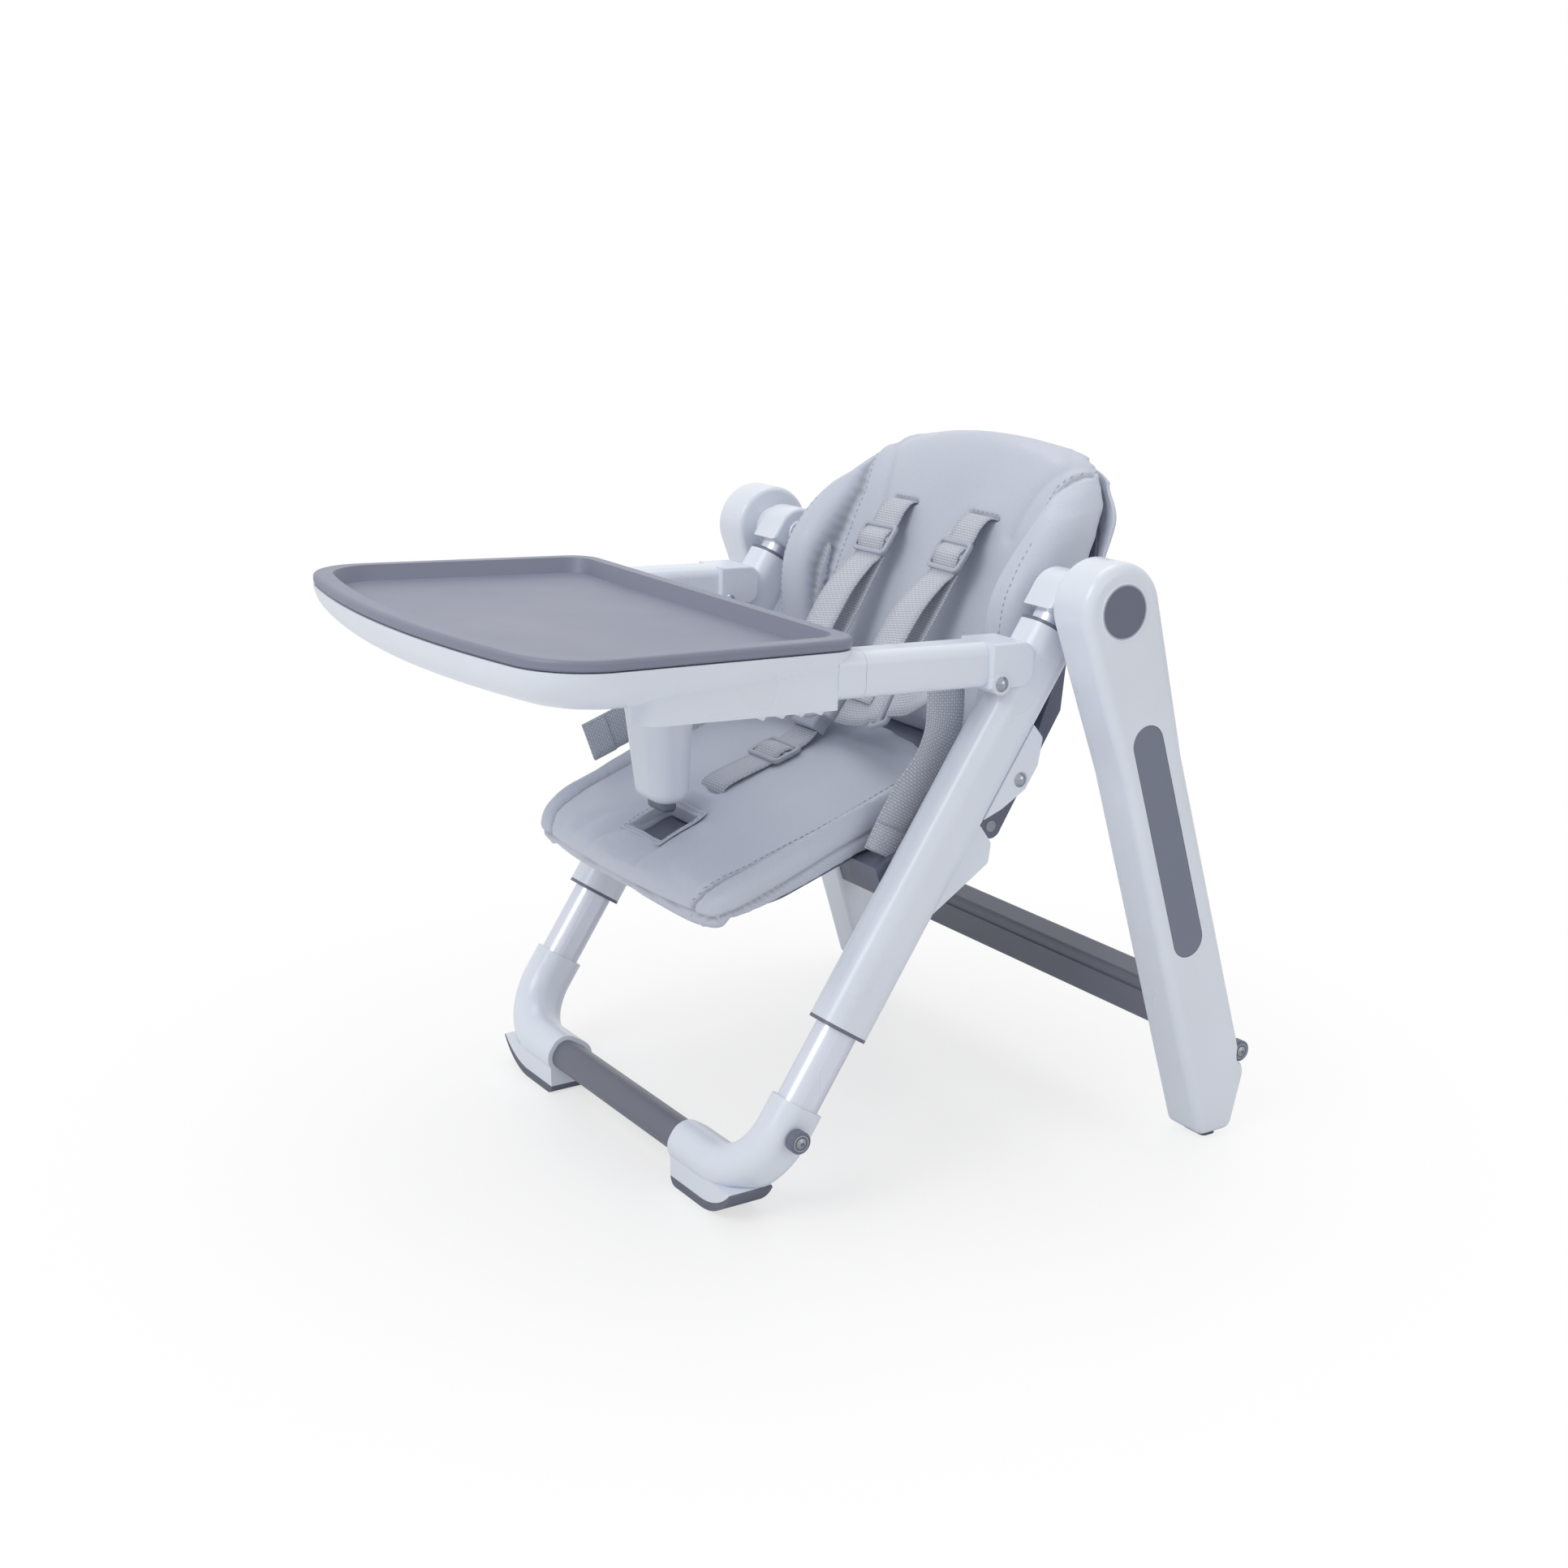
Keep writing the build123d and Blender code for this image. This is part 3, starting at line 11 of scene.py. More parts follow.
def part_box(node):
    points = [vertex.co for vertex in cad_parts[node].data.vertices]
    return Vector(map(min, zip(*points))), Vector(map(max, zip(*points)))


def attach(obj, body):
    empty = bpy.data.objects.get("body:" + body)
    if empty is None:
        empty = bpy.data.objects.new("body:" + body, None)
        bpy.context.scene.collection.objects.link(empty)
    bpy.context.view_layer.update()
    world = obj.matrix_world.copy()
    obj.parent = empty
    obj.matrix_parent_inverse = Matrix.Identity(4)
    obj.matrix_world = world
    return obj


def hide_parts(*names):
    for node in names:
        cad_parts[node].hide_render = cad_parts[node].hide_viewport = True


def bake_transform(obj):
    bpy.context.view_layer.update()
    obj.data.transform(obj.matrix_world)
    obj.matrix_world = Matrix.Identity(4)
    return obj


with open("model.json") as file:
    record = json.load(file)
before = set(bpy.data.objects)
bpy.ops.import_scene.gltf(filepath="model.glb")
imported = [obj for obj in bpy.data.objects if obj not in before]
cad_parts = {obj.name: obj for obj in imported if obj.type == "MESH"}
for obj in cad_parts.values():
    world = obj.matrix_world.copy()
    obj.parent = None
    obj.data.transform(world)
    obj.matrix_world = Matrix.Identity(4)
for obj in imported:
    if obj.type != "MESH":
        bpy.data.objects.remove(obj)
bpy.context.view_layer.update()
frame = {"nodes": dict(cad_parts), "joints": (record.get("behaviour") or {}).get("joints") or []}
nodes = frame["nodes"]
joints = {joint["name"]: joint for joint in frame["joints"]}

# The chair's own directions; places on the seat and the backrest are in millimetres from the recline hinge
MM = 0.001
SIDES = ((1, "left"), (-1, "right"))
hub = Vector(joints["fold_hinge"]["pos_m"])
hinge = Vector(joints["recline_hinge"]["pos_m"])
across = Vector((1, 0, 0))
seat_slope, back_lean, leg_lean = radians(18.0), radians(22.0), radians(34.2)
seat_back = Vector((0, cos(seat_slope), sin(seat_slope)))
seat_up = Vector((0, -sin(seat_slope), cos(seat_slope)))
back_up = Vector((0, sin(back_lean), cos(back_lean)))
back_out = Vector((0, -cos(back_lean), sin(back_lean)))


def on_seat(x, back, up):
    """Place on the seat: across, towards the backrest and up from the seat's slope."""
    return hinge + (across * x + seat_back * back + seat_up * up) * MM


def on_back(x, height, out):
    """Place on the backrest: across, up along it and out from its face."""
    return hinge + (across * x + back_up * height + back_out * out) * MM


# Finishes

def tint(red, green, blue):
    """Colour as seen, 0 to 255, as a linear shader colour."""
    linear = []
    for part in (red, green, blue):
        share = part / 255
        linear.append(share / 12.92 if share <= 0.04045 else ((share + 0.055) / 1.055) ** 2.4)
    return (*linear, 1.0)


def add_node(tree, kind, inputs=(), **settings):
    """Add a shader node whose inputs are set to a value or joined to another node's output."""
    node = tree.nodes.new("ShaderNode" + kind)
    for name, value in settings.items():
        setattr(node, name, value)
    for key, value in dict(inputs).items():
        if isinstance(value, bpy.types.NodeSocket):
            tree.links.new(value, node.inputs[key])
        else:
            node.inputs[key].default_value = value
    return node


def surface_group(name, inputs):
    """Start a shared surface that gives colour, roughness and height over a piece."""
    group = bpy.data.node_groups.new(name, "ShaderNodeTree")
    for label, kind, value in inputs:
        socket = group.interface.new_socket(label, in_out="INPUT", socket_type="NodeSocket" + kind)
        socket.default_value = value
    for label, kind in (("Colour", "Color"), ("Roughness", "Float"), ("Height", "Float")):
        group.interface.new_socket(label, in_out="OUTPUT", socket_type="NodeSocket" + kind)
    start = group.nodes.new("NodeGroupInput").outputs
    end = group.nodes.new("NodeGroupOutput").inputs
    return group, start, end


def close_surface(group, end, colour, roughness, height):
    """Join what a shared surface gives to its outputs."""
    for label, value in (("Colour", colour), ("Roughness", roughness), ("Height", height)):
        group.links.new(value, end[label])
    return group


def spread(group, value, low, high):
    """Stretch a noise's middle range to a low and a high value."""
    ends = {"From Min": 0.3, "From Max": 0.7, "To Min": low, "To Max": high}
    return add_node(group, "MapRange", {"Value": value, **ends}, clamp=False).outputs["Result"]


def shaded(group, colour, share):
    """The colour made darker or lighter by a share."""
    return add_node(group, "VectorMath", {0: colour, "Scale": share}, operation="SCALE").outputs["Vector"]


def arithmetic(group, operation, first, second=0.0):
    return add_node(group, "Math", {0: first, 1: second}, operation=operation).outputs["Value"]


def moulded_skin():
    """Plastic and paint: a fine mould grain, with faint clouds in colour and gloss."""
    group, start, end = surface_group(
        "moulded skin",
        (("Colour", "Color", (0.8, 0.8, 0.8, 1)), ("Roughness", "Float", 0.4), ("Grain", "Float", 900.0)),
    )
    place = add_node(group, "TexCoord").outputs["Object"]
    grain = add_node(group, "TexNoise", {"Vector": place, "Scale": start["Grain"], "Detail": 3.0})
    cloud = add_node(group, "TexNoise", {"Vector": place, "Scale": 11.0, "Detail": 3.0})
    share = spread(group, cloud.outputs["Fac"], 0.975, 1.02)
    gloss = arithmetic(group, "MULTIPLY", start["Roughness"], spread(group, cloud.outputs["Fac"], 0.88, 1.12))
    return close_surface(group, end, shaded(group, start["Colour"], share), gloss, grain.outputs["Fac"])


def leather_grain():
    """Coated leather: pebbled grain, soft creases, slow changes of tone and painted shade along the seams and
    creases.
    """
    group, start, end = surface_group(
        "leather grain",
        (("Colour", "Color", (0.6, 0.6, 0.6, 1)), ("Roughness", "Float", 0.5), ("Pebble", "Float", 800.0)),
    )
    place = add_node(group, "TexCoord").outputs["Object"]
    pebble = add_node(group, "TexVoronoi", {"Vector": place, "Scale": start["Pebble"]}, feature="SMOOTH_F1")
    crease = add_node(group, "TexNoise", {"Vector": place, "Scale": 38.0, "Detail": 4.0, "Distortion": 0.6})
    cloud = add_node(group, "TexNoise", {"Vector": place, "Scale": 7.0, "Detail": 2.0})
    seam = add_node(group, "Attribute", attribute_name="seam").outputs["Fac"]
    # Where the seam mark is set the colour goes down to 0.62: painted shade in the sewn grooves and creases.
    seam_shade = add_node(group, "MapRange", {"Value": seam, "To Min": 1.0, "To Max": 0.62}).outputs["Result"]
    cloud_shade = spread(group, cloud.outputs["Fac"], 0.965, 1.03)
    pebble_shade = spread(group, pebble.outputs["Distance"], 1.015, 0.98)
    share = arithmetic(group, "MULTIPLY", arithmetic(group, "MULTIPLY", cloud_shade, pebble_shade), seam_shade)
    gloss = arithmetic(group, "MULTIPLY", start["Roughness"], spread(group, crease.outputs["Fac"], 0.9, 1.1))
    pebble_height = arithmetic(group, "MULTIPLY", pebble.outputs["Distance"], 0.35)
    height = arithmetic(group, "ADD", pebble_height, crease.outputs["Fac"])
    return close_surface(group, end, shaded(group, start["Colour"], share), gloss, height)


def woven_band():
    """Webbing: over-and-under threads that follow the strap, with painted shade where the threads dip."""
    group, start, end = surface_group(
        "woven band",
        (("Colour", "Color", (0.6, 0.6, 0.6, 1)), ("Roughness", "Float", 0.7), ("Thread", "Float", 0.0018)),
    )
    place = add_node(group, "TexCoord").outputs["UV"]
    thread = add_node(group, "SeparateXYZ", {"Vector": place})
    turn = arithmetic(group, "DIVIDE", pi, start["Thread"])
    weft = arithmetic(group, "SINE", arithmetic(group, "MULTIPLY", thread.outputs["X"], turn))
    warp = arithmetic(group, "SINE", arithmetic(group, "MULTIPLY", thread.outputs["Y"], turn))
    over = arithmetic(group, "MULTIPLY", weft, warp)
    rounded = arithmetic(group, "ABSOLUTE", over)
    height = arithmetic(group, "ADD", rounded, arithmetic(group, "MULTIPLY", over, 0.3))
    # The colour follows the thread height, darker in the dips: painted shade between the threads.
    share = add_node(group, "MapRange", {"Value": height, "From Max": 0.8, "To Min": 0.62, "To Max": 1.1})
    colour = shaded(group, start["Colour"], share.outputs["Result"])
    return close_surface(group, end, colour, start["Roughness"], height)


def drawn_metal():
    """Drawn or turned metal: fine streaks along the leg and a little cloud in the gloss."""
    group, start, end = surface_group(
        "drawn metal",
        (("Colour", "Color", (0.7, 0.7, 0.7, 1)), ("Roughness", "Float", 0.3), ("Streak", "Float", 600.0)),
    )
    place = add_node(group, "TexCoord").outputs["Object"]
    stretch = {"Rotation": (leg_lean, 0, 0), "Scale": (1.0, 1.0, 0.004)}
    along = add_node(group, "Mapping", {"Vector": place, **stretch}).outputs["Vector"]
    streak = add_node(group, "TexNoise", {"Vector": along, "Scale": start["Streak"], "Detail": 2.0})
    share = spread(group, streak.outputs["Fac"], 0.99, 1.01)
    gloss = arithmetic(group, "MULTIPLY", start["Roughness"], spread(group, streak.outputs["Fac"], 0.93, 1.07))
    return close_surface(group, end, shaded(group, start["Colour"], share), gloss, streak.outputs["Fac"])


def finish(name, group, colour, roughness, scale, bump, **shader_values):
    """A material on a shared surface; scale is the surface's grain, bump its depth in metres."""
    material = bpy.data.materials.new(name)
    material.use_nodes = True
    tree = material.node_tree
    shader = tree.nodes["Principled BSDF"]
    surface = tree.nodes.new("ShaderNodeGroup")
    surface.node_tree = group
    for socket, value in zip(surface.inputs, (colour, roughness, scale)):
        socket.default_value = value
    relief = add_node(tree, "Bump", {"Height": surface.outputs["Height"], "Distance": bump, "Strength": 0.6})
    tree.links.new(surface.outputs["Colour"], shader.inputs["Base Color"])
    tree.links.new(surface.outputs["Roughness"], shader.inputs["Roughness"])
    tree.links.new(relief.outputs["Normal"], shader.inputs["Normal"])
    for label, value in shader_values.items():
        shader.inputs[label.replace("_", " ")].default_value = value
    return material


skin = moulded_skin()
hide = leather_grain()
weave = woven_band()
drawn = drawn_metal()

# After the colour come the roughness, the scale of the grain and the depth of its bump
white_plastic = finish(
    "white plastic", skin, tint(223, 229, 240), 0.3, 1400.0, 0.00003, Coat_Weight=0.25, Coat_Roughness=0.12
)
grey_plastic = finish("grey plastic", skin, tint(104, 109, 127), 0.38, 1200.0, 0.00005)
inlay_plastic = finish("inlay plastic", skin, tint(114, 120, 138), 0.32, 1300.0, 0.00004, Coat_Weight=0.2)
grey_satin = finish("grey satin", skin, tint(128, 132, 151), 0.42, 1500.0, 0.00006)
grey_paint = finish("grey painted tube", skin, tint(104, 108, 122), 0.4, 1600.0, 0.00004)
grey_rubber = finish("grey rubber", skin, tint(104, 108, 121), 0.72, 700.0, 0.00012)
bare_tube = finish("bare tube", drawn, tint(216, 220, 232), 0.3, 2600.0, 0.000002, Metallic=0.7)
steel = finish("steel", drawn, tint(150, 153, 160), 0.32, 700.0, 0.00001, Metallic=1.0)
chrome = finish("chrome", drawn, tint(158, 163, 173), 0.13, 500.0, 0.000004, Metallic=1.0)
leather = finish("leather", hide, tint(194, 199, 213), 0.46, 850.0, 0.00022, Sheen_Weight=0.05)
leather_thread = finish("leather thread", skin, tint(168, 173, 188), 0.7, 2500.0, 0.00008)
webbing = finish("webbing", weave, tint(205, 209, 221), 0.72, 0.0024, 0.0006, Sheen_Weight=0.1)
buckle_plastic = finish("buckle plastic", skin, tint(172, 178, 191), 0.4, 1400.0, 0.00004)

finished_nodes = (
    (white_plastic, ("front_elbow", "hub_knuckle", "rear_leg_shell", "rear_leg_cover", "leg_sleeve",
                     "arm_saddle", "tray_arm", "tray_base", "tray_post", "tray_racks")),
    (inlay_plastic, ("rear_leg_inlay",)),
    (grey_plastic, ("fold_button", "height_button", "front_roller_left", "front_roller_right",
                    "rear_roller_left", "rear_roller_right", "seat_shell", "back_shell",
                    "upper_bushes", "lower_bushes")),
    (grey_satin, ("tray_liner",)),
    (grey_paint, ("front_crossbar", "rear_crossbar")),
    (grey_rubber, ("front_foot_pad", "rear_foot_pad")),
    (bare_tube, ("leg_tube",)),
    (steel, ("front_roller_axles", "rear_roller_axles", "hub_pins", "recline_pins")),
    (chrome, ("arm_bolts", "bracket_screws")),
    (leather, ("seat_cushion", "back_cushion")),
    (webbing, ("crotch_strap", "lap_strap", "strap_tail", "shoulder_strap")),
    (buckle_plastic, ("harness_buckle", "buckle_button", "strap_sliders", "shoulder_sliders")),
)
for material, names in finished_nodes:
    for name, node in nodes.items():
        if name.startswith(names):
            node.data.materials.clear()
            node.data.materials.append(material)


# Making pieces

def add_object(name, data):
    """Put a mesh, lamp or camera in the scene."""
    added = bpy.data.objects.new(name, data)
    bpy.context.scene.collection.objects.link(added)
    return added


def new_piece(name, mesh, material, body):
    """A finished mesh as a piece that rides on a body."""
    piece = add_object(name, mesh)
    mesh.materials.clear()
    mesh.materials.append(material)
    mesh.shade_smooth()
    if body:
        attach(piece, body)
    return piece


def modelled_mesh(name, shape):
    """The modelled shape as a mesh."""
    mesh = bpy.data.meshes.new(name)
    shape.to_mesh(mesh)
    shape.free()
    return mesh


def modelled_piece(name, shape, material, body):
    """The modelled shape as a piece."""
    return new_piece(name, modelled_mesh(name, shape), material, body)


def give_wall(piece, thickness, offset=0):
    """Give a sheet its thickness: an offset of 0 puts half on each side."""
    wall = piece.modifiers.new("thickness", "SOLIDIFY")
    wall.thickness = thickness
    wall.offset = offset


def soften_edges(piece, width, segments):
    """Round the edges of a sheet's wall."""
    soft = piece.modifiers.new("soft edge", "BEVEL")
    soft.width = width
    soft.segments = segments


def surface_of(piece):
    """The piece's surface, to find places on."""
    bpy.context.view_layer.update()
    return BVHTree.FromObject(piece, bpy.context.evaluated_depsgraph_get())


def baked_mesh(piece):
    """The piece's mesh with its modifiers applied."""
    bpy.context.view_layer.update()
    depsgraph = bpy.context.evaluated_depsgraph_get()
    return bpy.data.meshes.new_from_object(piece.evaluated_get(depsgraph))


def take_mesh(piece, mesh):
    """Give the piece a new mesh and drop its modifiers."""
    piece.modifiers.clear()
    old = piece.data
    piece.data = mesh
    bpy.data.meshes.remove(old)


INFLATE_FRAMES = 20
RELAX_PASSES = 4


def inflated_pad(name, node_name, shrink, grid, cap):
    """A pad from its solid: drawn in, remeshed, blown up under pressure with a capped swell, and subdivided."""
    mesh = nodes[node_name].data.copy()
    shell = bmesh.new()
    shell.from_mesh(mesh)
    bmesh.ops.remove_doubles(shell, verts=shell.verts, dist=0.00002)
    shell.normal_update()
    for vert in shell.verts:
        vert.co -= vert.normal * shrink
    shell.to_mesh(mesh)
    shell.free()
    pad = add_object(name, mesh)
    remesh = pad.modifiers.new("cloth grid", "REMESH")
    remesh.mode = "VOXEL"
    remesh.voxel_size = grid
    take_mesh(pad, baked_mesh(pad))
    slack = [vert.co.copy() for vert in pad.data.vertices]
    cloth = pad.modifiers.new("inflate", "CLOTH")
    cloth.settings.quality = 5
    cloth.settings.tension_stiffness = 30
    cloth.settings.compression_stiffness = 30
    cloth.settings.bending_stiffness = 1.5
    cloth.settings.use_pressure = True
    cloth.settings.uniform_pressure_force = 4
    cloth.settings.effector_weights.gravity = 0
    for step in range(1, INFLATE_FRAMES + 1):
        bpy.context.scene.frame_set(step)
    take_mesh(pad, baked_mesh(pad))
    bpy.context.scene.frame_set(1)
    for vert, start in zip(pad.data.vertices, slack):
        swell = vert.co - start
        if swell.length > cap:
            vert.co = start + swell.normalized() * cap
    taut = bmesh.new()
    taut.from_mesh(pad.data)
    for _ in range(RELAX_PASSES):
        bmesh.ops.smooth_vert(
            taut, verts=taut.verts, factor=0.5, use_axis_x=True, use_axis_y=True, use_axis_z=True
        )
    taut.to_mesh(pad.data)
    taut.free()
    smooth = pad.modifiers.new("smooth", "SUBSURF")
    smooth.levels = 1
    smooth.render_levels = 1
    take_mesh(pad, baked_mesh(pad))
    return pad


def line_distance(point, line):
    """Shortest distance from a flat point to a line of flat points."""
    best = 1e9
    for start, end in zip(line, line[1:]):
        foot, share = intersect_point_line(point, start, end)
        if share < 0:
            foot = start
        elif share > 1:
            foot = end
        best = min(best, (point - foot).length)
    return best


def smooth_step(value, low, high):
    """Ease from 0 at the low value to 1 at the high one."""
    share = min(max((value - low) / (high - low), 0.0), 1.0)
    return share * share * (3 - 2 * share)


# How far a place on a pad turns to the seam's side before it is drawn in, and the gathers along a seam
FACES_OUT, FACES_LEVEL = 0.2, 0.85
PUCKER_ALONG, PUCKER_ACROSS = 620, 260


def sew_channels(pad, along, face_dir, lines, width, depth, shade=1.0, pucker=0.16):
    """Draw the pad in along seam lines, given as across and along in millimetres on the side that faces out."""
    flat_lines = [[Vector((x * MM, y * MM, 0)) for x, y in line] for line in lines]
    pulls = []
    for vert in pad.data.vertices:
        if vert.normal.dot(face_dir) < FACES_OUT:
            continue
        place = vert.co - hinge
        flat = Vector((place.x, place.dot(along), 0))
        pull = 0.0
        for line in flat_lines:
            gap = line_distance(flat, line)
            if gap < 4 * width:
                pull = max(pull, exp(-((gap / width) ** 2)))
        if pull > 0.01:
            gather = 1 + pucker * sin(flat.y * PUCKER_ALONG + flat.x * PUCKER_ACROSS)
            pulls.append((vert, pull, vert.normal * depth * pull * gather))
    sew_down(pad, pulls, shade)


def sew_border(pad, level_dir, level_at, width, depth, shade=1.0):
    """Draw the pad's sides in along a line all round it; level_at gives its level in millimetres at a place."""
    pulls = []
    for vert in pad.data.vertices:
        gap = (vert.co - hinge).dot(level_dir) - level_at((vert.co - hinge) / MM) * MM
        if abs(vert.normal.dot(level_dir)) < FACES_LEVEL and abs(gap) < 4 * width:
            pull = exp(-((gap / width) ** 2))
            pulls.append((vert, pull, vert.normal * depth * pull))
    sew_down(pad, pulls, shade)


def sew_down(pad, pulls, shade):
    """Move the drawn-in places and mark them as seams, where the leather gets painted shade in the groove."""
    seam = pad.data.attributes.get("seam") or pad.data.attributes.new("seam", "FLOAT", "POINT")
    for vert, pull, move in pulls:
        vert.co -= move
        mark = seam.data[vert.index]
        # The mark is painted shade in the groove; shade sets how much.
        mark.value = max(mark.value, pull ** 3 * shade)
    pad.data.update()


def stitch_rows(name, pad, lift_dir, place_on, lines, pitch, material, body):
    """Small stitches along lines on a pad, each set on its surface."""
    cover = surface_of(pad)
    half_length, half_width, half_height = pitch * 0.36, 0.00055, 0.00045
    above, lift = 0.2, 0.0001
    thread = bmesh.new()
    for line in lines:
        spots = [place_on(x, y, 0) for x, y in line]
        for start, end in zip(spots, spots[1:]):
            run = end - start
            count = max(1, floor(run.length / pitch))
            for number in range(count):
                spot = start + run * ((number + 0.5) / count)
                hit, normal, _, _ = cover.ray_cast(spot + lift_dir * above, -lift_dir)
                if hit is None:
                    continue
                way = (run - normal * run.dot(normal)).normalized()
                side = normal.cross(way)
                turn = Matrix((way, side, normal)).transposed().to_4x4()
                size = Matrix.Diagonal((half_length, half_width, half_height, 1.0))
                place = Matrix.Translation(hit + normal * lift) @ turn @ size
                bmesh.ops.create_icosphere(thread, subdivisions=1, radius=1.0, matrix=place)
    return modelled_piece(name, thread, material, body)


def smooth_route(points, steps):
    """Points along a smooth line through the given ones."""
    tangents = []
    for number, point in enumerate(points):
        before = points[max(number - 1, 0)]
        after = points[min(number + 1, len(points) - 1)]
        tangents.append((after - before) / 2)
    route = []
    for number in range(len(points) - 1):
        start, end = points[number], points[number + 1]
        reach = (end - start).length / 3
        leave = start + tangents[number].normalized() * reach
        arrive = end - tangents[number + 1].normalized() * reach
        part = interpolate_bezier(start, leave, arrive, end, steps + 1)
        route.extend(part if number == 0 else part[1:])
    return route


STRAP_WIDTH, STRAP_THICKNESS = 0.0372, 0.0016
LOOP_WIDTH = 0.0364


def strap_piece(name, points, sides, body, node_names=(), steps=10, width=STRAP_WIDTH):
    """Webbing that follows a smooth route; sides are its crosswise directions at the points."""
    route = smooth_route(points, steps)
    crosswise = smooth_route([Vector(side).normalized() for side in sides], steps)
    lengths = [0.0]
    for start, end in zip(route, route[1:]):
        lengths.append(lengths[-1] + (end - start).length)
    band = bmesh.new()
    bmesh.ops.create_grid(band, x_segments=4, y_segments=len(route) - 1, size=0.5)
    threads = band.loops.layers.uv.new("threads")
    flat = {}
    for vert in band.verts:
        station = round((vert.co.y + 0.5) * (len(route) - 1))
        flat[vert] = (vert.co.x * width, lengths[station])
        side = crosswise[station].normalized()
        vert.co = route[station] + side * vert.co.x * width
    for face in band.faces:
        for loop in face.loops:
            loop[threads].uv = flat[loop.vert]
    bmesh.ops.recalc_face_normals(band, faces=band.faces)
    piece = modelled_piece(name, band, webbing, body)
    give_wall(piece, STRAP_THICKNESS)
    if node_names:
        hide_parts(*node_names)
    return piece


# Seat cushion

def mirrored(lines):
    """The same lines on the chair's other side."""
    return [[(-x, y) for x, y in line] for line in lines]


def bow_seat_front(pad):
    """Bow the seat's front edge forward in the middle and draw its corners round."""
    for vert in pad.data.vertices:
        place = (vert.co - hinge) / MM
        share = smooth_step(-place.dot(seat_back), 226, 266)
        side = abs(place.x) / 172
        vert.co -= seat_back * (8 - 9 * side**2 - 4 * side**8) * share * MM
    pad.data.update()


def drop_seat_band(pad):
    """Let the band below the border seam hang past the pan's edge, and lift the rim, most on the right."""
    for vert in pad.data.vertices:
        place = (vert.co - hinge) / MM
        edge = max(smooth_step(abs(place.x), 156, 166), smooth_step(-place.dot(seat_back), 244, 256))
        fall = smooth_step(45 - place.dot(seat_up), 0, 9)
        vert.co -= seat_up * 6 * edge * fall * MM
        rim = smooth_step(abs(place.x), 148, 166) * smooth_step(-place.dot(seat_back), 20, 70)
        lift = 1.5 + 4 * smooth_step(-place.x, 0, 100)
        vert.co += seat_up * lift * rim * smooth_step(place.dot(seat_up), 46, 56) * MM
    pad.data.update()


def fill_back_shoulders(pad):
    """Fill the backrest out to a broad arch at its top, and its wings forward."""
    for vert in pad.data.vertices:
        place = (vert.co - hinge) / MM
        rise = place.dot(back_up)
        top = smooth_step(rise, 225, 325)
        side = max(-1.0, min(place.x / 150, 1.0))
        beside = smooth_step(abs(place.x), 105, 160)
        wing = beside * smooth_step(rise, 110, 200) * (1 - smooth_step(rise, 285, 335))
        front = smooth_step(place.dot(back_out), -5, 25)
        vert.co.x *= 1 + 0.075 * top
        vert.co += back_up * (9 - 15 * side**2 + 6 * side) * top * MM
        vert.co += back_out * 11 * wing * front * MM
    pad.data.update()


def finished_pad(name, pad, node_name, body):
    """The shaped pad as the leather piece that stands for its solid."""
    piece = new_piece(name, pad.data, leather, body)
    bpy.data.objects.remove(pad)
    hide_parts(node_name)
    return piece


def seat_border_level(place):
    """Level of the seat's border seam, which drops towards the front."""
    return 41 + 5 * smooth_step(place.dot(seat_back), -250, -120)


def back_border_level(place):
    """Level of the backrest's border seam, which ends below the shoulders."""
    return -3 if place.dot(back_up) < 235 else -300


PAD_SHRINK, PAD_GRID = 0.0022, 0.004
PAD_STITCH, SLOT_STITCH = 0.0055, 0.0045
seat_side_seam = [(128, -268), (138, -246), (146, -212), (149, -150), (149.5, -90), (149, -20)]
seat_seams = [seat_side_seam] + mirrored([seat_side_seam])
slot_creases = [[(34, -236), (40, -262)], [(-34, -236), (-40, -262)]]
seat_pad = inflated_pad("seat_pad", "seat_cushion", shrink=PAD_SHRINK, grid=PAD_GRID, cap=0.0038)
bow_seat_front(seat_pad)
sew_channels(seat_pad, seat_back, seat_up, seat_seams, width=0.0034, depth=0.003)
sew_channels(seat_pad, seat_back, seat_up, slot_creases, width=0.006, depth=0.0012, shade=0.1, pucker=0.0)
drop_seat_band(seat_pad)
sew_border(seat_pad, seat_up, seat_border_level, width=0.0021, depth=0.0034, shade=0.8)
new_seat = finished_pad("seat_pad_cover", seat_pad, "seat_cushion", "seat_carriage")
seat_rows = [[(x - 4, y) for x, y in seat_side_seam]]
seat_rows += mirrored(seat_rows)
stitch_rows(
    "seat_stitches", new_seat, seat_up, on_seat, seat_rows, PAD_STITCH, leather_thread, "seat_carriage"
)


SLOT_LIP, SLOT_DEPTH = 0.0052, 0.013
CUP_DROP, CUP_DISH, CUP_CLEARANCE = 0.0125, 0.004, 0.009
LIP_SINK, LIP_LIFT, LIP_REACH = 0.0006, 0.0004, 0.007
BESIDE_SLOT = 9


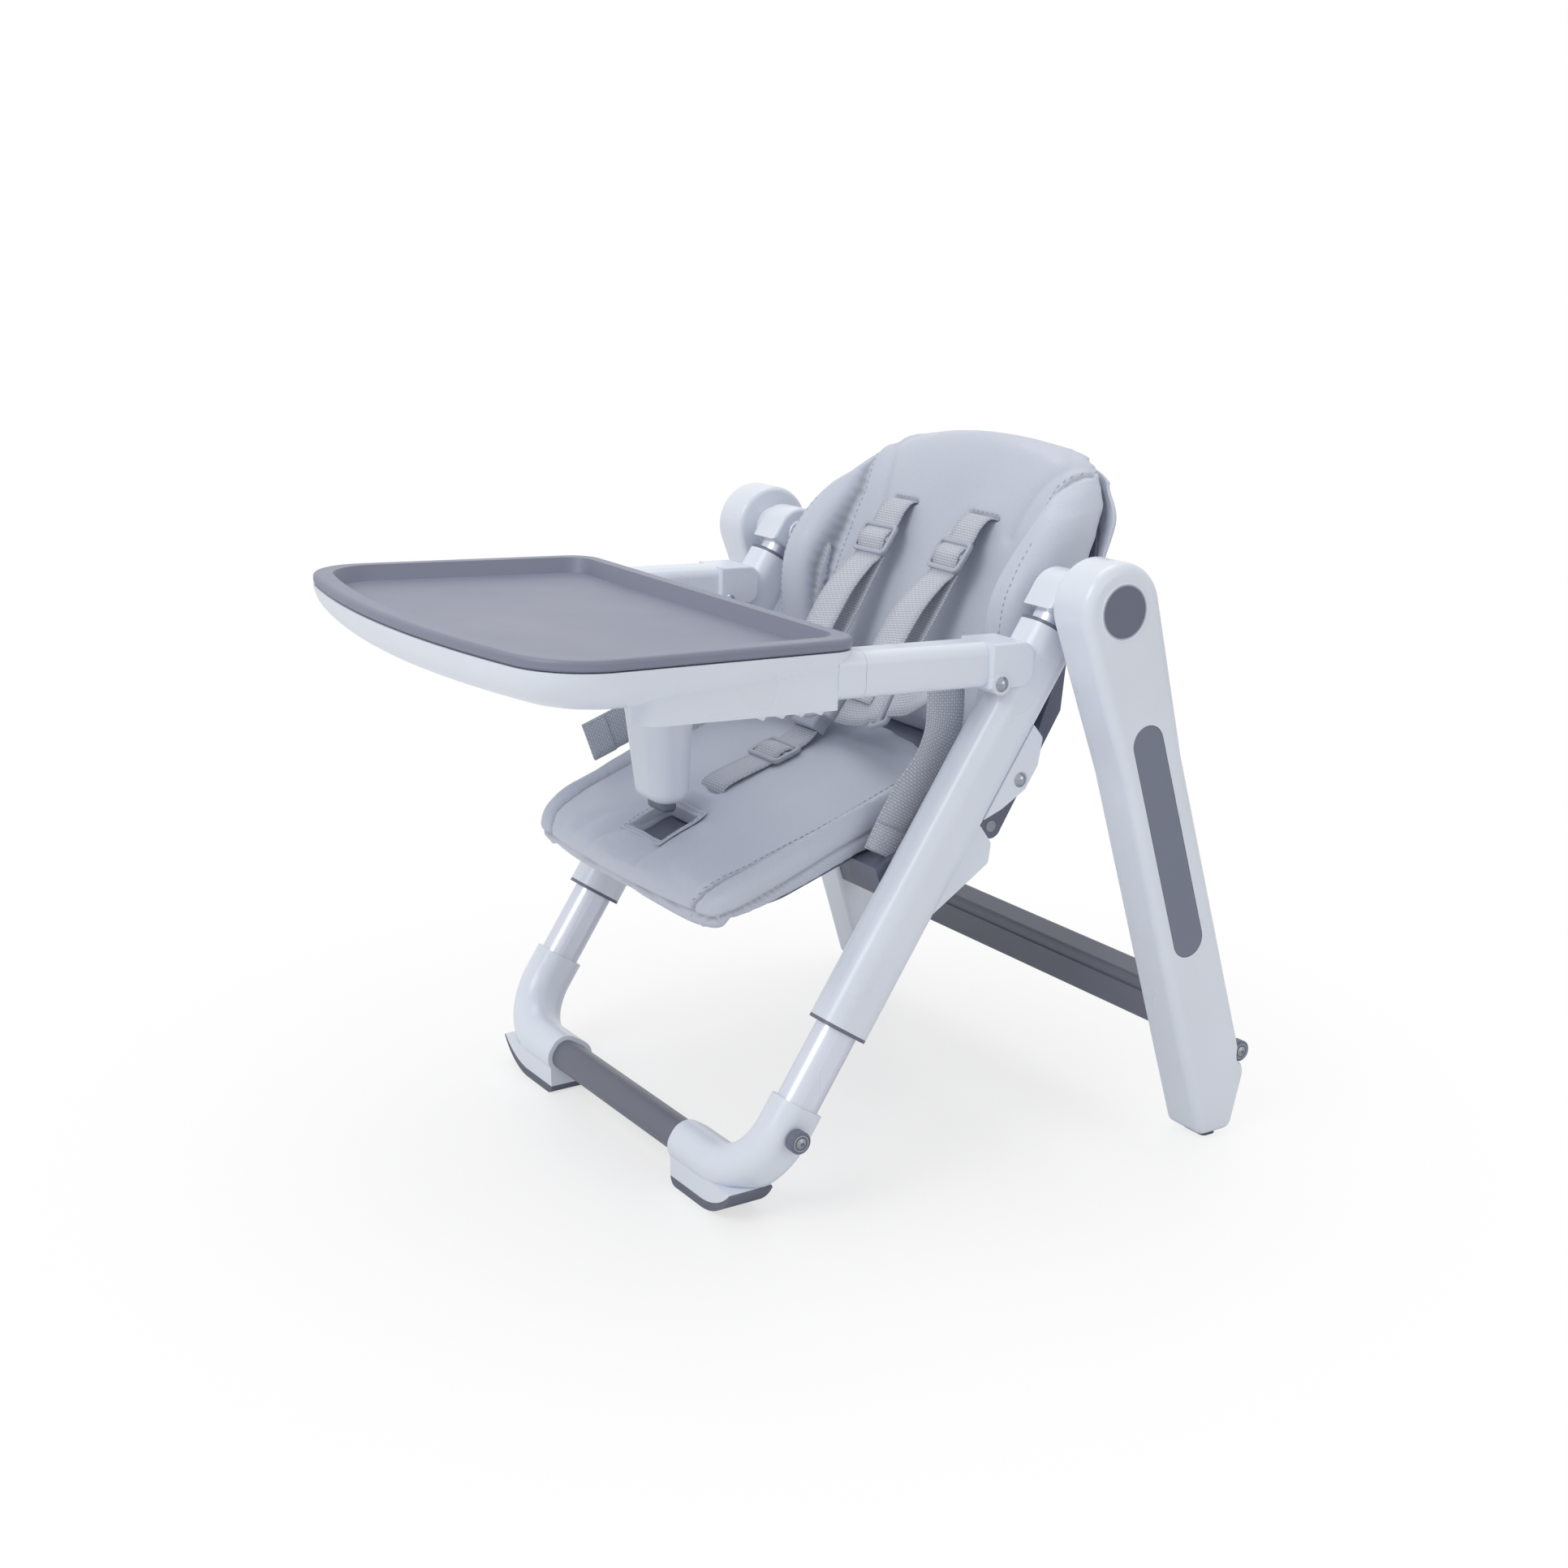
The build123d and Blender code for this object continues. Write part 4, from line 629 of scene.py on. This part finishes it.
def slot_binding(name, pad, half_width, front, rear):
    """Turned leather edge round the post slot, laid on the seat, with the cup at its foot."""
    cover = surface_of(pad)
    rise = 0.0
    for x in (-half_width - BESIDE_SLOT, half_width + BESIDE_SLOT):
        for back in (-front - BESIDE_SLOT, -rear + BESIDE_SLOT):
            hit = cover.ray_cast(on_seat(x, back, 150), -seat_up)[0]
            rise += (hit - hinge).dot(seat_up) / 4
    middle = on_seat(0, -(front + rear) / 2, 0) + seat_up * (rise - LIP_SINK)
    place = Matrix((across, seat_back, seat_up)).transposed().to_4x4()
    place.translation = middle
    edge = bmesh.new()
    size = Matrix.Diagonal((2 * half_width * MM, (front - rear) * MM, 1, 1))
    bmesh.ops.create_grid(edge, x_segments=1, y_segments=1, size=0.5, matrix=size)
    hole = edge.faces[:]
    bmesh.ops.inset_region(edge, faces=hole, thickness=SLOT_LIP, use_even_offset=True, use_boundary=True)
    walls = bmesh.ops.extrude_face_region(edge, geom=hole)
    sunk = [part for part in walls["geom"] if isinstance(part, bmesh.types.BMVert)]
    bmesh.ops.translate(edge, verts=sunk, vec=(0, 0, -SLOT_DEPTH))
    bottom = [part for part in walls["geom"] if isinstance(part, bmesh.types.BMFace)]
    bmesh.ops.delete(edge, geom=bottom + [face for face in hole if face.is_valid], context="FACES")
    bmesh.ops.subdivide_edges(edge, edges=edge.edges, cuts=5, use_grid_fill=True)
    bmesh.ops.recalc_face_normals(edge, faces=edge.faces)
    top = [vert for vert in edge.verts if vert.co.z > -0.0005]
    bmesh.ops.transform(edge, matrix=place, verts=edge.verts)
    for vert in top:
        outward = vert.co - middle
        beside = vert.co + outward.normalized() * LIP_REACH
        hit = cover.ray_cast(beside + seat_up * 0.05, -seat_up)[0]
        vert.co += seat_up * ((hit - vert.co).dot(seat_up) + LIP_LIFT)
    binding = modelled_piece(name, edge, leather, "seat_carriage")
    give_wall(binding, thickness=0.0016)
    soften_edges(binding, width=0.0007, segments=2)
    slot_cup("post_slot_cup", place, 2 * half_width * MM, (front - rear) * MM)
    return binding


def slot_cup(name, place, width, length):
    """Dished plastic floor of the post slot."""
    cup = bmesh.new()
    inside = Matrix.Diagonal((width - CUP_CLEARANCE, length - CUP_CLEARANCE, 1, 1))
    bmesh.ops.create_grid(cup, x_segments=12, y_segments=10, size=0.5, matrix=inside)
    for vert in cup.verts:
        u, v = 2 * vert.co.x / width, 2 * vert.co.y / length
        vert.co.z = -CUP_DROP - CUP_DISH * max(1 - u * u, 0) * max(1 - v * v, 0)
    bmesh.ops.transform(cup, matrix=place, verts=cup.verts)
    piece = modelled_piece(name, cup, grey_plastic, "seat_carriage")
    give_wall(piece, thickness=0.0012, offset=-1)


binding = slot_binding("post_slot_binding", new_seat, half_width=35, front=236, rear=184)
slot_row = [(-32.6, -233.6), (32.6, -233.6), (32.6, -186.4), (-32.6, -186.4), (-32.6, -233.6)]
stitch_rows(
    "slot_stitches", binding, seat_up, on_seat, [slot_row], SLOT_STITCH, leather_thread, "seat_carriage"
)

# Back cushion
back_side_seam = [(118, 60), (134, 110), (138, 170), (136, 220), (136, 256), (141, 284), (150, 306), (162, 322)]
back_seams = [back_side_seam] + mirrored([back_side_seam])
shoulder_fold = [(150, 318), (134, 312), (120, 300), (110, 282), (104, 262), (100, 242)]
shoulder_folds = [shoulder_fold] + mirrored([shoulder_fold])
wing_row = [(157, 72), (168, 110), (172, 160), (171, 200), (166, 238)]
strap_slots = [[(41, 254), (79, 254)], [(-41, 254), (-79, 254)]]
back_pad = inflated_pad("back_pad", "back_cushion", shrink=PAD_SHRINK, grid=PAD_GRID, cap=0.005)
fill_back_shoulders(back_pad)
sew_channels(back_pad, back_up, back_out, back_seams, width=0.0036, depth=0.0034)
sew_channels(back_pad, back_up, back_out, shoulder_folds, width=0.007, depth=0.0026, shade=0.15, pucker=0.0)
sew_channels(back_pad, back_up, back_out, strap_slots, width=0.0024, depth=0.003)
sew_border(back_pad, back_out, back_border_level, width=0.0024, depth=0.0026, shade=0.4)
new_back = finished_pad("back_pad_cover", back_pad, "back_cushion", "backrest")
back_rows = [[(x - 4.5, y) for x, y in back_side_seam], wing_row]
back_rows += mirrored(back_rows) + [[(x, y + 3.5) for x, y in line] for line in strap_slots]
stitch_rows(
    "back_stitches", new_back, back_out, on_back, back_rows, PAD_STITCH, leather_thread, "backrest"
)


def rear_flap(name, half_width, low, high, depth):
    """Leather flap of the cover behind the backrest's shell, round at its corners and sewn along its edge, with
    painted shade along the sewn line.
    """
    flap = bmesh.new()
    bmesh.ops.create_grid(flap, x_segments=64, y_segments=48, size=0.5)
    seam = flap.verts.layers.float.new("seam")
    for vert in flap.verts:
        u, v = 2 * vert.co.x, vert.co.y + 0.5
        round_top = 0.14 * smooth_step(v, 0.72, 1.0) ** 2
        round_foot = 0.16 * smooth_step(1 - v, 0.6, 1.0) ** 2
        reach = half_width * (1 - round_top - round_foot)
        rise = low + (high - low) * v - 16 * abs(u) ** 5 * v**4 + 14 * abs(u) ** 5 * (1 - v) ** 4
        from_edge = min((1 - abs(u)) * half_width, (1 - v) * (high - low), v * (high - low))
        sewn = exp(-(((from_edge - 11) / 2.6) ** 2))
        slack = 1.6 * sin(0.06 * rise + 2.2 * u) * sin(5 * u) * smooth_step(from_edge, 12, 40)
        vert.co = on_back(u * reach, rise, depth - 4 * (1 - u * u) + 5 * u**6 + 1.6 * sewn - slack)
        # Painted shade along the sewn groove, through the leather's seam mark.
        vert[seam] = 0.75 * sewn**2
    bmesh.ops.recalc_face_normals(flap, faces=flap.faces)
    area = sum(face.calc_area() for face in flap.faces)
    piece = modelled_piece(name, flap, leather, "backrest")
    give_wall(piece, thickness=0.0035)
    soften_edges(piece, width=0.0012, segments=2)


rear_flap("back_rear_flap", half_width=181, low=110, high=326, depth=-26)


def crook_panel(name, half_width):
    """Leather between the seat's rear edge and the foot of the backrest, which follows both."""
    profile = smooth_route([on_seat(0, -2, 38), on_seat(0, 12, 31), on_seat(0, 30, 29), on_back(0, 58, -13)], 5)
    panel = bmesh.new()
    bmesh.ops.create_grid(panel, x_segments=20, y_segments=len(profile) - 1, size=0.5)
    for vert in panel.verts:
        station = round((vert.co.y + 0.5) * (len(profile) - 1))
        vert.co = profile[station] + across * 2 * vert.co.x * half_width * MM
    bmesh.ops.recalc_face_normals(panel, faces=panel.faces)
    area = sum(face.calc_area() for face in panel.faces)
    piece = modelled_piece(name, panel, leather, None)
    give_wall(piece, thickness=0.0025)
    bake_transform(piece)


crook_panel("crook_panel", half_width=160)

# Harness

SLIDER_FRAME = (0.050, 0.031)
SLIDER_BAR = (0.044, 0.005)
SLIDER_CORNER = 0.006
SLIDER_RIM = 0.0046


def harness_sliders(name, places, body, node_name):
    """Strap sliders: rounded frames with a middle bar; each place is its centre, the strap's way and its side."""
    sheet = bmesh.new()
    for centre, way, side in places:
        place = Matrix((side, way, side.cross(way))).transposed().to_4x4()
        place.translation = centre
        for wide, long in (SLIDER_FRAME, SLIDER_BAR):
            size = place @ Matrix.Diagonal((wide, long, 1, 1))
            plate = bmesh.ops.create_grid(sheet, x_segments=1, y_segments=1, size=0.5, matrix=size)["verts"]
            if (wide, long) == SLIDER_FRAME:
                rounded = bmesh.ops.bevel(
                    sheet, geom=plate, offset=SLIDER_CORNER, affect="VERTICES",
                    segments=4, profile=0.5, material=-1,
                )
                face = max(rounded["verts"][0].link_faces, key=lambda part: part.calc_area())
                bmesh.ops.inset_region(
                    sheet, faces=[face], thickness=SLIDER_RIM, use_even_offset=True, use_boundary=True
                )
                bmesh.ops.delete(sheet, geom=[face], context="FACES")
    piece = modelled_piece(name, sheet, buckle_plastic, body)
    give_wall(piece, thickness=0.0042)
    soften_edges(piece, width=0.0013, segments=3)
    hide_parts(node_name)


buckle = on_seat(0, -25, 98)
buckle_tilt = radians(53.0)
buckle_out = Vector((0, -sin(buckle_tilt), cos(buckle_tilt)))
buckle_up = Vector((0, cos(buckle_tilt), sin(buckle_tilt)))
crotch_line = [(-158, 40), (-158, 67), (-151, 73.5), (-124, 74), (-102, 73.5), (-88, 78), (-74, 74), (-62, 75),
               (-51.8, 79.2)]
crotch_points = [on_seat(0, back, up) for back, up in crotch_line]
crotch_sides = [across] * len(crotch_points)
strap_piece(
    "crotch_webbing", crotch_points, crotch_sides, "seat_carriage", ["crotch_strap"]
)
lap_line = [(33, 0, 0), (52, 1.2, 0), (74, 5, 0), (86, 9.3, -2), (100, 14.5, 3), (114, 20, -2), (140, 30, 0),
            (181, 45.6, 0)]
lap_slider = (100, 14.5)
slider_places = [(on_seat(0, -88, 74.6), seat_back, across)]
for side, mark in SIDES:
    way = Vector((side * 0.93, 0, 0.368))
    upright = (buckle_up - way * buckle_up.dot(way)).normalized()
    face = upright.cross(way) * side
    lap_points = [buckle + Vector((side * x, 0, z)) * MM + face * lift * MM for x, z, lift in lap_line]
    lap_sides = [buckle_up, buckle_up] + [upright] * 4 + [Vector((0, 0.4, 0.9)), Vector((0, 0.75, 0.66))]
    strap_piece(
        f"lap_webbing_{mark}", lap_points, lap_sides, "seat_carriage", [f"lap_strap_{mark}"]
    )
    slider_spot = buckle + Vector((side * lap_slider[0], 0, lap_slider[1])) * MM
    slider_places.append((slider_spot, way, upright))
harness_sliders("strap_frames", slider_places, "seat_carriage", "strap_sliders")
tail_side = 184
left_tail = [(0, 46.6), (0, 24.6), (-3.6, 1.6), (-15.6, -22.4), (-33.6, -42.4), (-51.6, -69.4), (-63, -90)]
right_tail = [(0, 46.6), (-5.6, 14.6), (-25.6, -18.4), (-65.6, -34.4), (-105.6, -48.4), (-143.6, -61.4)]
for tail_points, side, mark in ((left_tail, 1, "left"), (right_tail, -1, "right")):
    spots = [buckle + Vector((side * tail_side, y, z)) * MM for y, z in tail_points]
    ways = [(after - before).normalized() for before, after in zip(spots[:-1], spots[1:])]
    ways.append(ways[-1])
    sides = [way.cross(across) for way in ways]
    strap_piece(
        f"tail_webbing_{mark}", spots, sides, "seat_carriage", [f"strap_tail_{mark}"]
    )
    hem_lift = across * 1.9 * MM
    turned = [spots[-1] - ways[-1] * back * MM + hem_lift for back in (0, 12, 24)]
    strap_piece(
        f"tail_hem_{mark}", turned, sides[-3:], "seat_carriage", steps=4
    )
shoulder_front = [(-11, -4.5), (5, 1.5), (16, -5.5), (25.6, -19), (38.8, -28), (43, -43.5), (56, -53),
                  (78, -74), (99, -104), (115, -130), (129, -150)]
shoulder_lean = [0, 0, 0, 0, 0, 0, 0.14, 0.24, 0.16, 0.05, 0]
shoulder_rear = [(39, -45), (50, -62), (71, -95), (94, -126), (118, -150)]
slider_places = []
for side, mark in SIDES:
    slot = on_back(side * 60, 253, 21)
    run = Vector((side * -0.0463, -0.999, 0))
    crosswise = Vector((-0.999, side * 0.0463, 0))
    spots = [slot + (run * u + Vector((0, 0, v))) * MM for u, v in shoulder_front]
    sides = [crosswise + Vector((0, 0, -0.6 * share)) + run * share for share in shoulder_lean]
    strap_piece(
        f"shoulder_webbing_{mark}", spots, sides, "backrest", [f"shoulder_strap_{mark}"]
    )
    spots = [slot + (run * u + Vector((0, 0, v))) * MM for u, v in shoulder_rear]
    strap_piece(
        f"shoulder_loop_{mark}", spots, [crosswise] * len(spots), "backrest",
        width=LOOP_WIDTH,
    )
    way = run * 0.588 + Vector((0, 0, -0.809))
    slider_places.append((slot + (run * 36 + Vector((0, 0, -30))) * MM, way, -crosswise))
harness_sliders("shoulder_frames", slider_places, "backrest", "shoulder_sliders")

# Small fittings

def wire_rings(name, rings, material, body):
    """Rings of round wire, each with a centre, an axis, a radius and the wire's radius in millimetres."""
    coil = bmesh.new()
    for centre, axis, radius, wire in rings:
        place = Matrix.Translation(centre) @ Vector(axis).to_track_quat("Z", "Y").to_matrix().to_4x4()
        edge = place @ Matrix.Translation((radius * MM, 0, 0)) @ Matrix.Rotation(pi / 2, 4, "X")
        start = bmesh.ops.create_circle(coil, segments=8, radius=wire * MM, matrix=edge)["verts"]
        loop = start + list(dict.fromkeys(part for vert in start for part in vert.link_edges))
        bmesh.ops.spin(coil, geom=loop, cent=centre, axis=axis, angle=2 * pi, steps=48, use_merge=True)
    bmesh.ops.recalc_face_normals(coil, faces=coil.faces)
    modelled_piece(name, coil, material, body)


def hex_socket_shades(name, spots, radius, material, body):
    """Dark six-sided discs on screw heads, painted shade that stands for their sockets; each spot has its centre
    and axis.
    """
    tool = bmesh.new()
    for centre, axis in spots:
        place = Matrix.Translation(centre) @ Vector(axis).to_track_quat("Z", "Y").to_matrix().to_4x4()
        bmesh.ops.create_cone(
            tool, cap_ends=True, segments=6, radius1=radius * MM, radius2=radius * 0.8 * MM,
            depth=0.0008, matrix=place,
        )
    modelled_piece(name, tool, material, body).data.shade_flat()


# Radius of the ring and of its wire, in millimetres
BUTTON_RIM, BUTTON_HIGHLIGHT_RING, ROLLER_GROOVE = (23.4, 1.3), (21.7, 0.6), (6.4, 0.45)
BUCKLE_RINGS = ((24.2, 0.8), (17.6, 0.7))
AXLE_SOCKET = 1.9


def outer_point(node_name, side):
    """Middle of a node's outer end on one side of the chair."""
    low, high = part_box(node_name)
    reach = high[0] if side > 0 else low[0]
    return Vector((reach, (low[1] + high[1]) / 2, (low[2] + high[2]) / 2))


for side, mark in SIDES:
    out = (side, 0, 0)
    button = outer_point(f"fold_button_{mark}", side)
    rim = [(button - Vector((side * 0.0006, 0, 0)), out, *BUTTON_RIM)]
    wire_rings(f"button_rim_{mark}", rim, white_plastic, "rear_frame")
    # A light grey wire ring on the button's bevel: its lighter colour is a painted highlight.
    edge = [(button - Vector((side * 0.0002, 0, 0)), out, *BUTTON_HIGHLIGHT_RING)]
    wire_rings(f"button_highlight_ring_{mark}", edge, buckle_plastic, f"fold_button_{mark}")
    for end in ("front", "rear"):
        roller = f"{end}_roller_{mark}"
        groove = [(outer_point(roller, side), out, *ROLLER_GROOVE)]
        wire_rings(f"{end}_roller_groove_{mark}", groove, buckle_plastic, roller)
face_probe = buckle + buckle_up * 21 * MM + buckle_out * 0.05
face_hit = surface_of(nodes["harness_buckle"]).ray_cast(face_probe, -buckle_out)[0]
face_middle = buckle + buckle_out * (face_hit - buckle).dot(buckle_out)
rings = [(face_middle, buckle_out, *ring) for ring in BUCKLE_RINGS]
wire_rings("buckle_rings", rings, buckle_plastic, "seat_carriage")

HUB_CAP_HEIGHT = 0.0014
for side, mark in SIDES:
    knuckle_low, knuckle_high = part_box(f"hub_knuckle_{mark}")
    inner = knuckle_low[0] if side > 0 else knuckle_high[0]
    place = Matrix.Translation((inner - side * HUB_CAP_HEIGHT / 2, hub.y, hub.z))
    place = place @ Matrix.Rotation(-side * pi / 2, 4, "Y")
    cap = bmesh.new()
    bmesh.ops.create_cone(
        cap, cap_ends=True, segments=48, radius1=0.0125, radius2=0.0115, depth=HUB_CAP_HEIGHT, matrix=place
    )
    modelled_piece(f"hub_cap_{mark}", cap, white_plastic, "front_frame").data.shade_flat()

post_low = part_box("tray_post")[0][2]
tip_verts = [vert.co for vert in nodes["tray_post"].data.vertices if vert.co.z < post_low + 0.003]
tip_y = sum(place.y for place in tip_verts) / len(tip_verts)
tip = bmesh.new()
tip_size = Matrix.Diagonal((0.031, 0.0145, 0.011, 1))
tip_place = Matrix.Translation((0, tip_y, post_low + 0.0042))
bmesh.ops.create_cube(tip, size=1.0, matrix=tip_place @ tip_size)
bmesh.ops.bevel(tip, geom=tip.edges, offset=0.0045, affect="EDGES", segments=5, profile=0.5, material=-1)
modelled_piece("post_tip_cap", tip, grey_plastic, "tray")

# Dark grey discs on the axle ends: painted shade for their hex sockets.
for end, body in (("front", "front_frame"), ("rear", "rear_frame")):
    spots = [(outer_point(f"{end}_roller_axles", side), (side, 0, 0)) for side in (1, -1)]
    hex_socket_shades(f"{end}_axle_socket_shades", spots, AXLE_SOCKET, grey_plastic, body)

# Floor, light and camera
ground = bmesh.new()
bmesh.ops.create_grid(ground, x_segments=1, y_segments=1, size=12.0)
floor_mesh = modelled_mesh("floor", ground)
floor_piece = add_object("floor", floor_mesh)
pale = bpy.data.materials.new("pale floor")
pale.use_nodes = True
tree = pale.node_tree
shader = tree.nodes["Principled BSDF"]
shader.inputs["Base Color"].default_value = (0.93, 0.93, 0.935, 1)
shader.inputs["Roughness"].default_value = 0.35
seen = add_node(tree, "LightPath")
beam = add_node(tree, "Emission", {"Color": (1, 1, 1, 1), "Strength": 1.0})
place = add_node(tree, "TexCoord").outputs["Object"]
reach = add_node(tree, "VectorMath", {0: place}, operation="LENGTH").outputs["Value"]
fade_ends = {"From Min": 0.1, "From Max": 0.75, "To Min": 0.62}
fade = add_node(tree, "MapRange", {"Value": reach, **fade_ends}, interpolation_type="SMOOTHSTEP")
shown = arithmetic(tree, "MULTIPLY", seen.outputs["Is Camera Ray"], fade.outputs["Result"])
blend = add_node(tree, "MixShader", {0: shown, 1: shader.outputs["BSDF"], 2: beam.outputs["Emission"]})
tree.links.new(blend.outputs["Shader"], tree.nodes["Material Output"].inputs["Surface"])
floor_mesh.materials.append(pale)

world = bpy.data.worlds.new("studio")
bpy.context.scene.world = world
world.use_nodes = True
sky = world.node_tree
seen = add_node(sky, "LightPath")
straight = arithmetic(sky, "MAXIMUM", seen.outputs["Is Camera Ray"], seen.outputs["Is Glossy Ray"])
backdrop = arithmetic(sky, "MAXIMUM", straight, seen.outputs["Is Transmission Ray"])
level = add_node(sky, "MapRange", {"Value": backdrop, "To Min": 0.55, "To Max": 1.0})
glow = sky.nodes["Background"]
glow.inputs["Color"].default_value = (1, 1, 1, 1)
sky.links.new(level.outputs["Result"], glow.inputs["Strength"])


def soft_light(name, place, target, size, power):
    """A round soft lamp, turned to the target."""
    lamp = bpy.data.lights.new(name, "AREA")
    lamp.shape = "DISK"
    lamp.size = size
    lamp.energy = power
    light = add_object(name, lamp)
    light.location = place
    light.rotation_euler = (Vector(target) - Vector(place)).to_track_quat("-Z", "Y").to_euler()


middle = (0, 0, 0.35)
soft_light("key light", (0.5, -2.1, 2.3), middle, size=1.8, power=29)
soft_light("side light", (2.6, 0.9, 1.2), middle, size=1.6, power=6)
soft_light("top light", (-0.6, 0.5, 2.8), middle, size=2.0, power=16)

azimuth, elevation, roll = radians(58.28), radians(15.286), radians(-0.368)
look = Vector((-sin(azimuth) * cos(elevation), cos(azimuth) * cos(elevation), -sin(elevation)))
level_right = Vector((cos(azimuth), sin(azimuth), 0))
level_up = level_right.cross(look)
right = level_right * cos(roll) + level_up * sin(roll)
upward = level_up * cos(roll) - level_right * sin(roll)
turn = Matrix((right, upward, -look)).transposed().to_4x4()
lens = bpy.data.cameras.new("camera")
lens.sensor_width = 36.0
lens.lens = 52.27
camera = add_object("camera", lens)
camera_from_hub = Vector((1.66413, -1.16970, 0.34770))
camera.matrix_world = Matrix.Translation(hub + camera_from_hub) @ turn
bpy.context.scene.camera = camera
bpy.context.scene.view_settings.view_transform = "Standard"
